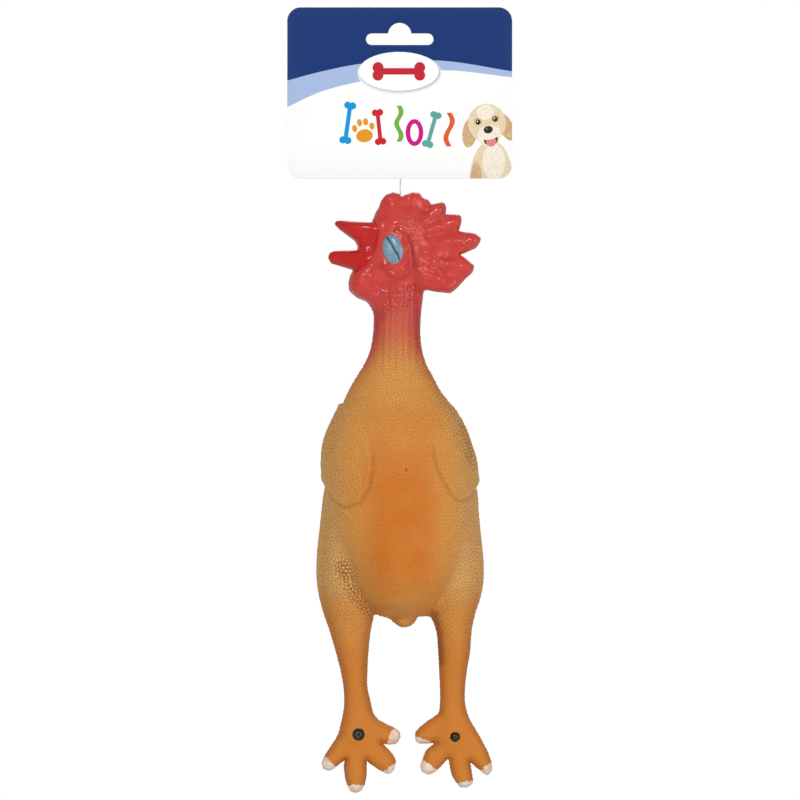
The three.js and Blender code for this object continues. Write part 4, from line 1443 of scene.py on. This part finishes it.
def add_strand(finish):
    """The pin's strand, drawn thinner in its middle and very slightly wavy."""
    rows, count = 48, 20
    points = []
    turns = 2 * math.pi * np.arange(count) / count
    for row in range(rows):
        share = row / (rows - 1)
        z = STRAND_TOP + share * (STRAND_BOTTOM - STRAND_TOP)
        radius = STRAND_RADIUS * (1 - 0.14 * math.sin(math.pi * share))
        drift = 0.05 * math.sin(9 * share)
        points += [(PIN_X + drift + radius * math.cos(a), radius * math.sin(a), z) for a in turns]
    points = np.array(points)
    mesh = quad_mesh("tag_strand", points, tube_quads(rows, count)[:, ::-1])
    add_rest(mesh, points)
    edit(mesh, lambda work: bmesh.ops.holes_fill(work, edges=work.edges, sides=count))
    mesh.materials.append(finish)
    piece = add_object("tag_strand", mesh)
    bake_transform(piece)
    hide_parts("tag_filament")


def add_squeaker():
    grey = plastic_finish("squeaker_plastic", tint(44, 40, 33), tint(78, 74, 62), 0.3, 0.25)
    barrel = lathe("squeaker_case", SQUEAKER_AXIS, [
        (2.3, 1.8), (2.3, -6.2), (2.36, -6.6), (2.5, -6.78), (2.68, -6.8), (2.82, -6.7),
        (2.9, -6.45), (2.9, -5.2), (2.8, -5.1), (2.8, -4.8), (2.9, -4.7), (2.9, 1.6),
        (2.75, 1.8), (2.3, 1.8),
    ], grey)
    cap = lathe("squeaker_lid", SQUEAKER_AXIS, [
        (0.4, -5.5), (0.4, -6.6), (0.5, -6.84), (0.7, -6.92), (1.0, -6.9), (1.3, -6.82),
        (1.6, -6.68), (1.85, -6.48), (2.05, -6.26), (2.2, -6.1), (2.28, -6.05), (2.28, -5.5),
        (0.4, -5.5),
    ], grey, ripple=0.03)
    for piece, node in ((barrel, "squeaker_barrel"), (cap, "squeaker_cap")):
        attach(piece, "right_foot")
        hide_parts(node)


def add_stopper():
    black = plastic_finish("stopper_plastic", tint(17, 16, 16), tint(30, 28, 27), 0.22, 0.06)
    plug = lathe("stopper_dome", STOPPER_AXIS, [
        (0.0, -7.78), (0.25, -7.78), (0.32, -7.96), (0.7, -7.92), (1.2, -7.74), (1.6, -7.45),
        (1.9, -7.1), (2.1, -6.75), (2.15, -6.4), (2.1, -6.1), (2.0, -5.9), (2.1, -5.7),
        (2.15, -5.5), (2.15, -4.2), (3.0, -3.8), (3.0, -3.0), (2.6, -2.6), (0.0, -2.6),
    ], black)
    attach(plug, "left_foot")
    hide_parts("stopper_plug")


def dress_cad(nodes, finish):
    for name in nodes:
        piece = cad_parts[name]
        piece.data.materials.clear()
        piece.data.materials.append(finish)


def add_small_parts():
    nylon = nylon_finish("nylon_strand")
    add_strand(nylon)
    add_squeaker()
    add_stopper()
    dress_cad(["tag_paddle", "tag_t_bar", "squeaker_reed"], nylon)
    inner = plastic_finish("cad_reed_plate", tint(120, 116, 108), tint(150, 146, 138), 0.4, 0.2,
                           on_cad=True)
    dress_cad(["squeaker_reed_plate"], inner)


# ---- camera, light and floor

CAMERA_DISTANCE = 4.0
FRAME_MARGIN = 1.0186  # frame height over the object's height
FRAME_SHIFT = 0.00014  # the card hangs a trace left of the frame's middle
SENSOR = 36.0
FLOOR_GAP = 0.052  # from the lowest toe to the floor
FLOOR_RADIUS = 0.9
AMBIENT = 0.515  # strength of the even light from all round
# Lamps: name, place and size in metres, power in watts.
LAMPS = [
    ("key", (-0.4, -1.7, 0.5), 0.28, 11),
    ("fill", (1.2, -1.4, -0.1), 1.0, 8.2),
    ("low", (0.0, -1.4, -1.1), 0.8, 8.8),
    ("back", (0.2, 1.6, 0.7), 1.2, 9),
]


def add_camera():
    height = cad_high.z - cad_low.z
    camera = bpy.data.cameras.new("camera")
    camera.sensor_width = SENSOR
    camera.lens = SENSOR * CAMERA_DISTANCE / (height * FRAME_MARGIN)
    camera.clip_start = 0.1
    camera.clip_end = 20
    holder = add_object("camera", camera)
    middle = (cad_low + cad_high) / 2
    holder.location = (middle.x + FRAME_SHIFT, -CAMERA_DISTANCE, middle.z)
    holder.rotation_euler = (math.pi / 2, 0, 0)
    bpy.context.scene.camera = holder


def add_lamp(name, place, aim, size, power):
    lamp = bpy.data.lights.new(name, "AREA")
    lamp.shape = "DISK"
    lamp.size = size
    lamp.energy = power
    holder = add_object(name, lamp)
    holder.location = place
    holder.rotation_euler = (Vector(aim) - Vector(place)).to_track_quat("-Z", "Y").to_euler()


def add_world():
    """White behind the object, and a softer even light from all round."""
    world = bpy.data.worlds.new("studio")
    world.use_nodes = True
    tree = world.node_tree
    tree.nodes.clear()
    seen = tree.nodes.new("ShaderNodeLightPath")
    background = tree.nodes.new("ShaderNodeBackground")
    around = tree.nodes.new("ShaderNodeBackground")
    around.inputs["Strength"].default_value = AMBIENT
    for light in (background, around):
        light.inputs["Color"].default_value = (1, 1, 1, 1)
    chosen = tree.nodes.new("ShaderNodeMixShader")
    output = tree.nodes.new("ShaderNodeOutputWorld")
    tree.links.new(seen.outputs["Is Camera Ray"], chosen.inputs[0])
    tree.links.new(around.outputs[0], chosen.inputs[1])
    tree.links.new(background.outputs[0], chosen.inputs[2])
    tree.links.new(chosen.outputs[0], output.inputs[0])
    bpy.context.scene.world = world


def add_floor():
    made = Finish("pale_floor")
    coordinates = made.tree.nodes.new("ShaderNodeTexCoord").outputs["Object"]
    grain = made.noise(coordinates, 0.08, 3.0)
    made.set(Base_Color=made.mix(grain, (0.86, 0.86, 0.86, 1), (0.9, 0.9, 0.9, 1)))
    made.shader.inputs["Roughness"].default_value = 0.9
    disc = bmesh.new()
    bmesh.ops.create_circle(disc, cap_ends=True, segments=128, radius=FLOOR_RADIUS)
    mesh = bpy.data.meshes.new("floor")
    disc.to_mesh(mesh)
    disc.free()
    mesh.materials.append(made.material)
    floor = add_object("floor", mesh)
    floor.location = (0, 0, cad_low.z - FLOOR_GAP)


def add_studio():
    middle = (cad_low + cad_high) / 2
    for name, place, size, power in LAMPS:
        add_lamp(name, place, middle, size, power)
    add_world()
    add_floor()
    bpy.context.scene.view_settings.view_transform = "Standard"


add_camera()
add_studio()
add_skin()
add_card()
add_small_parts()
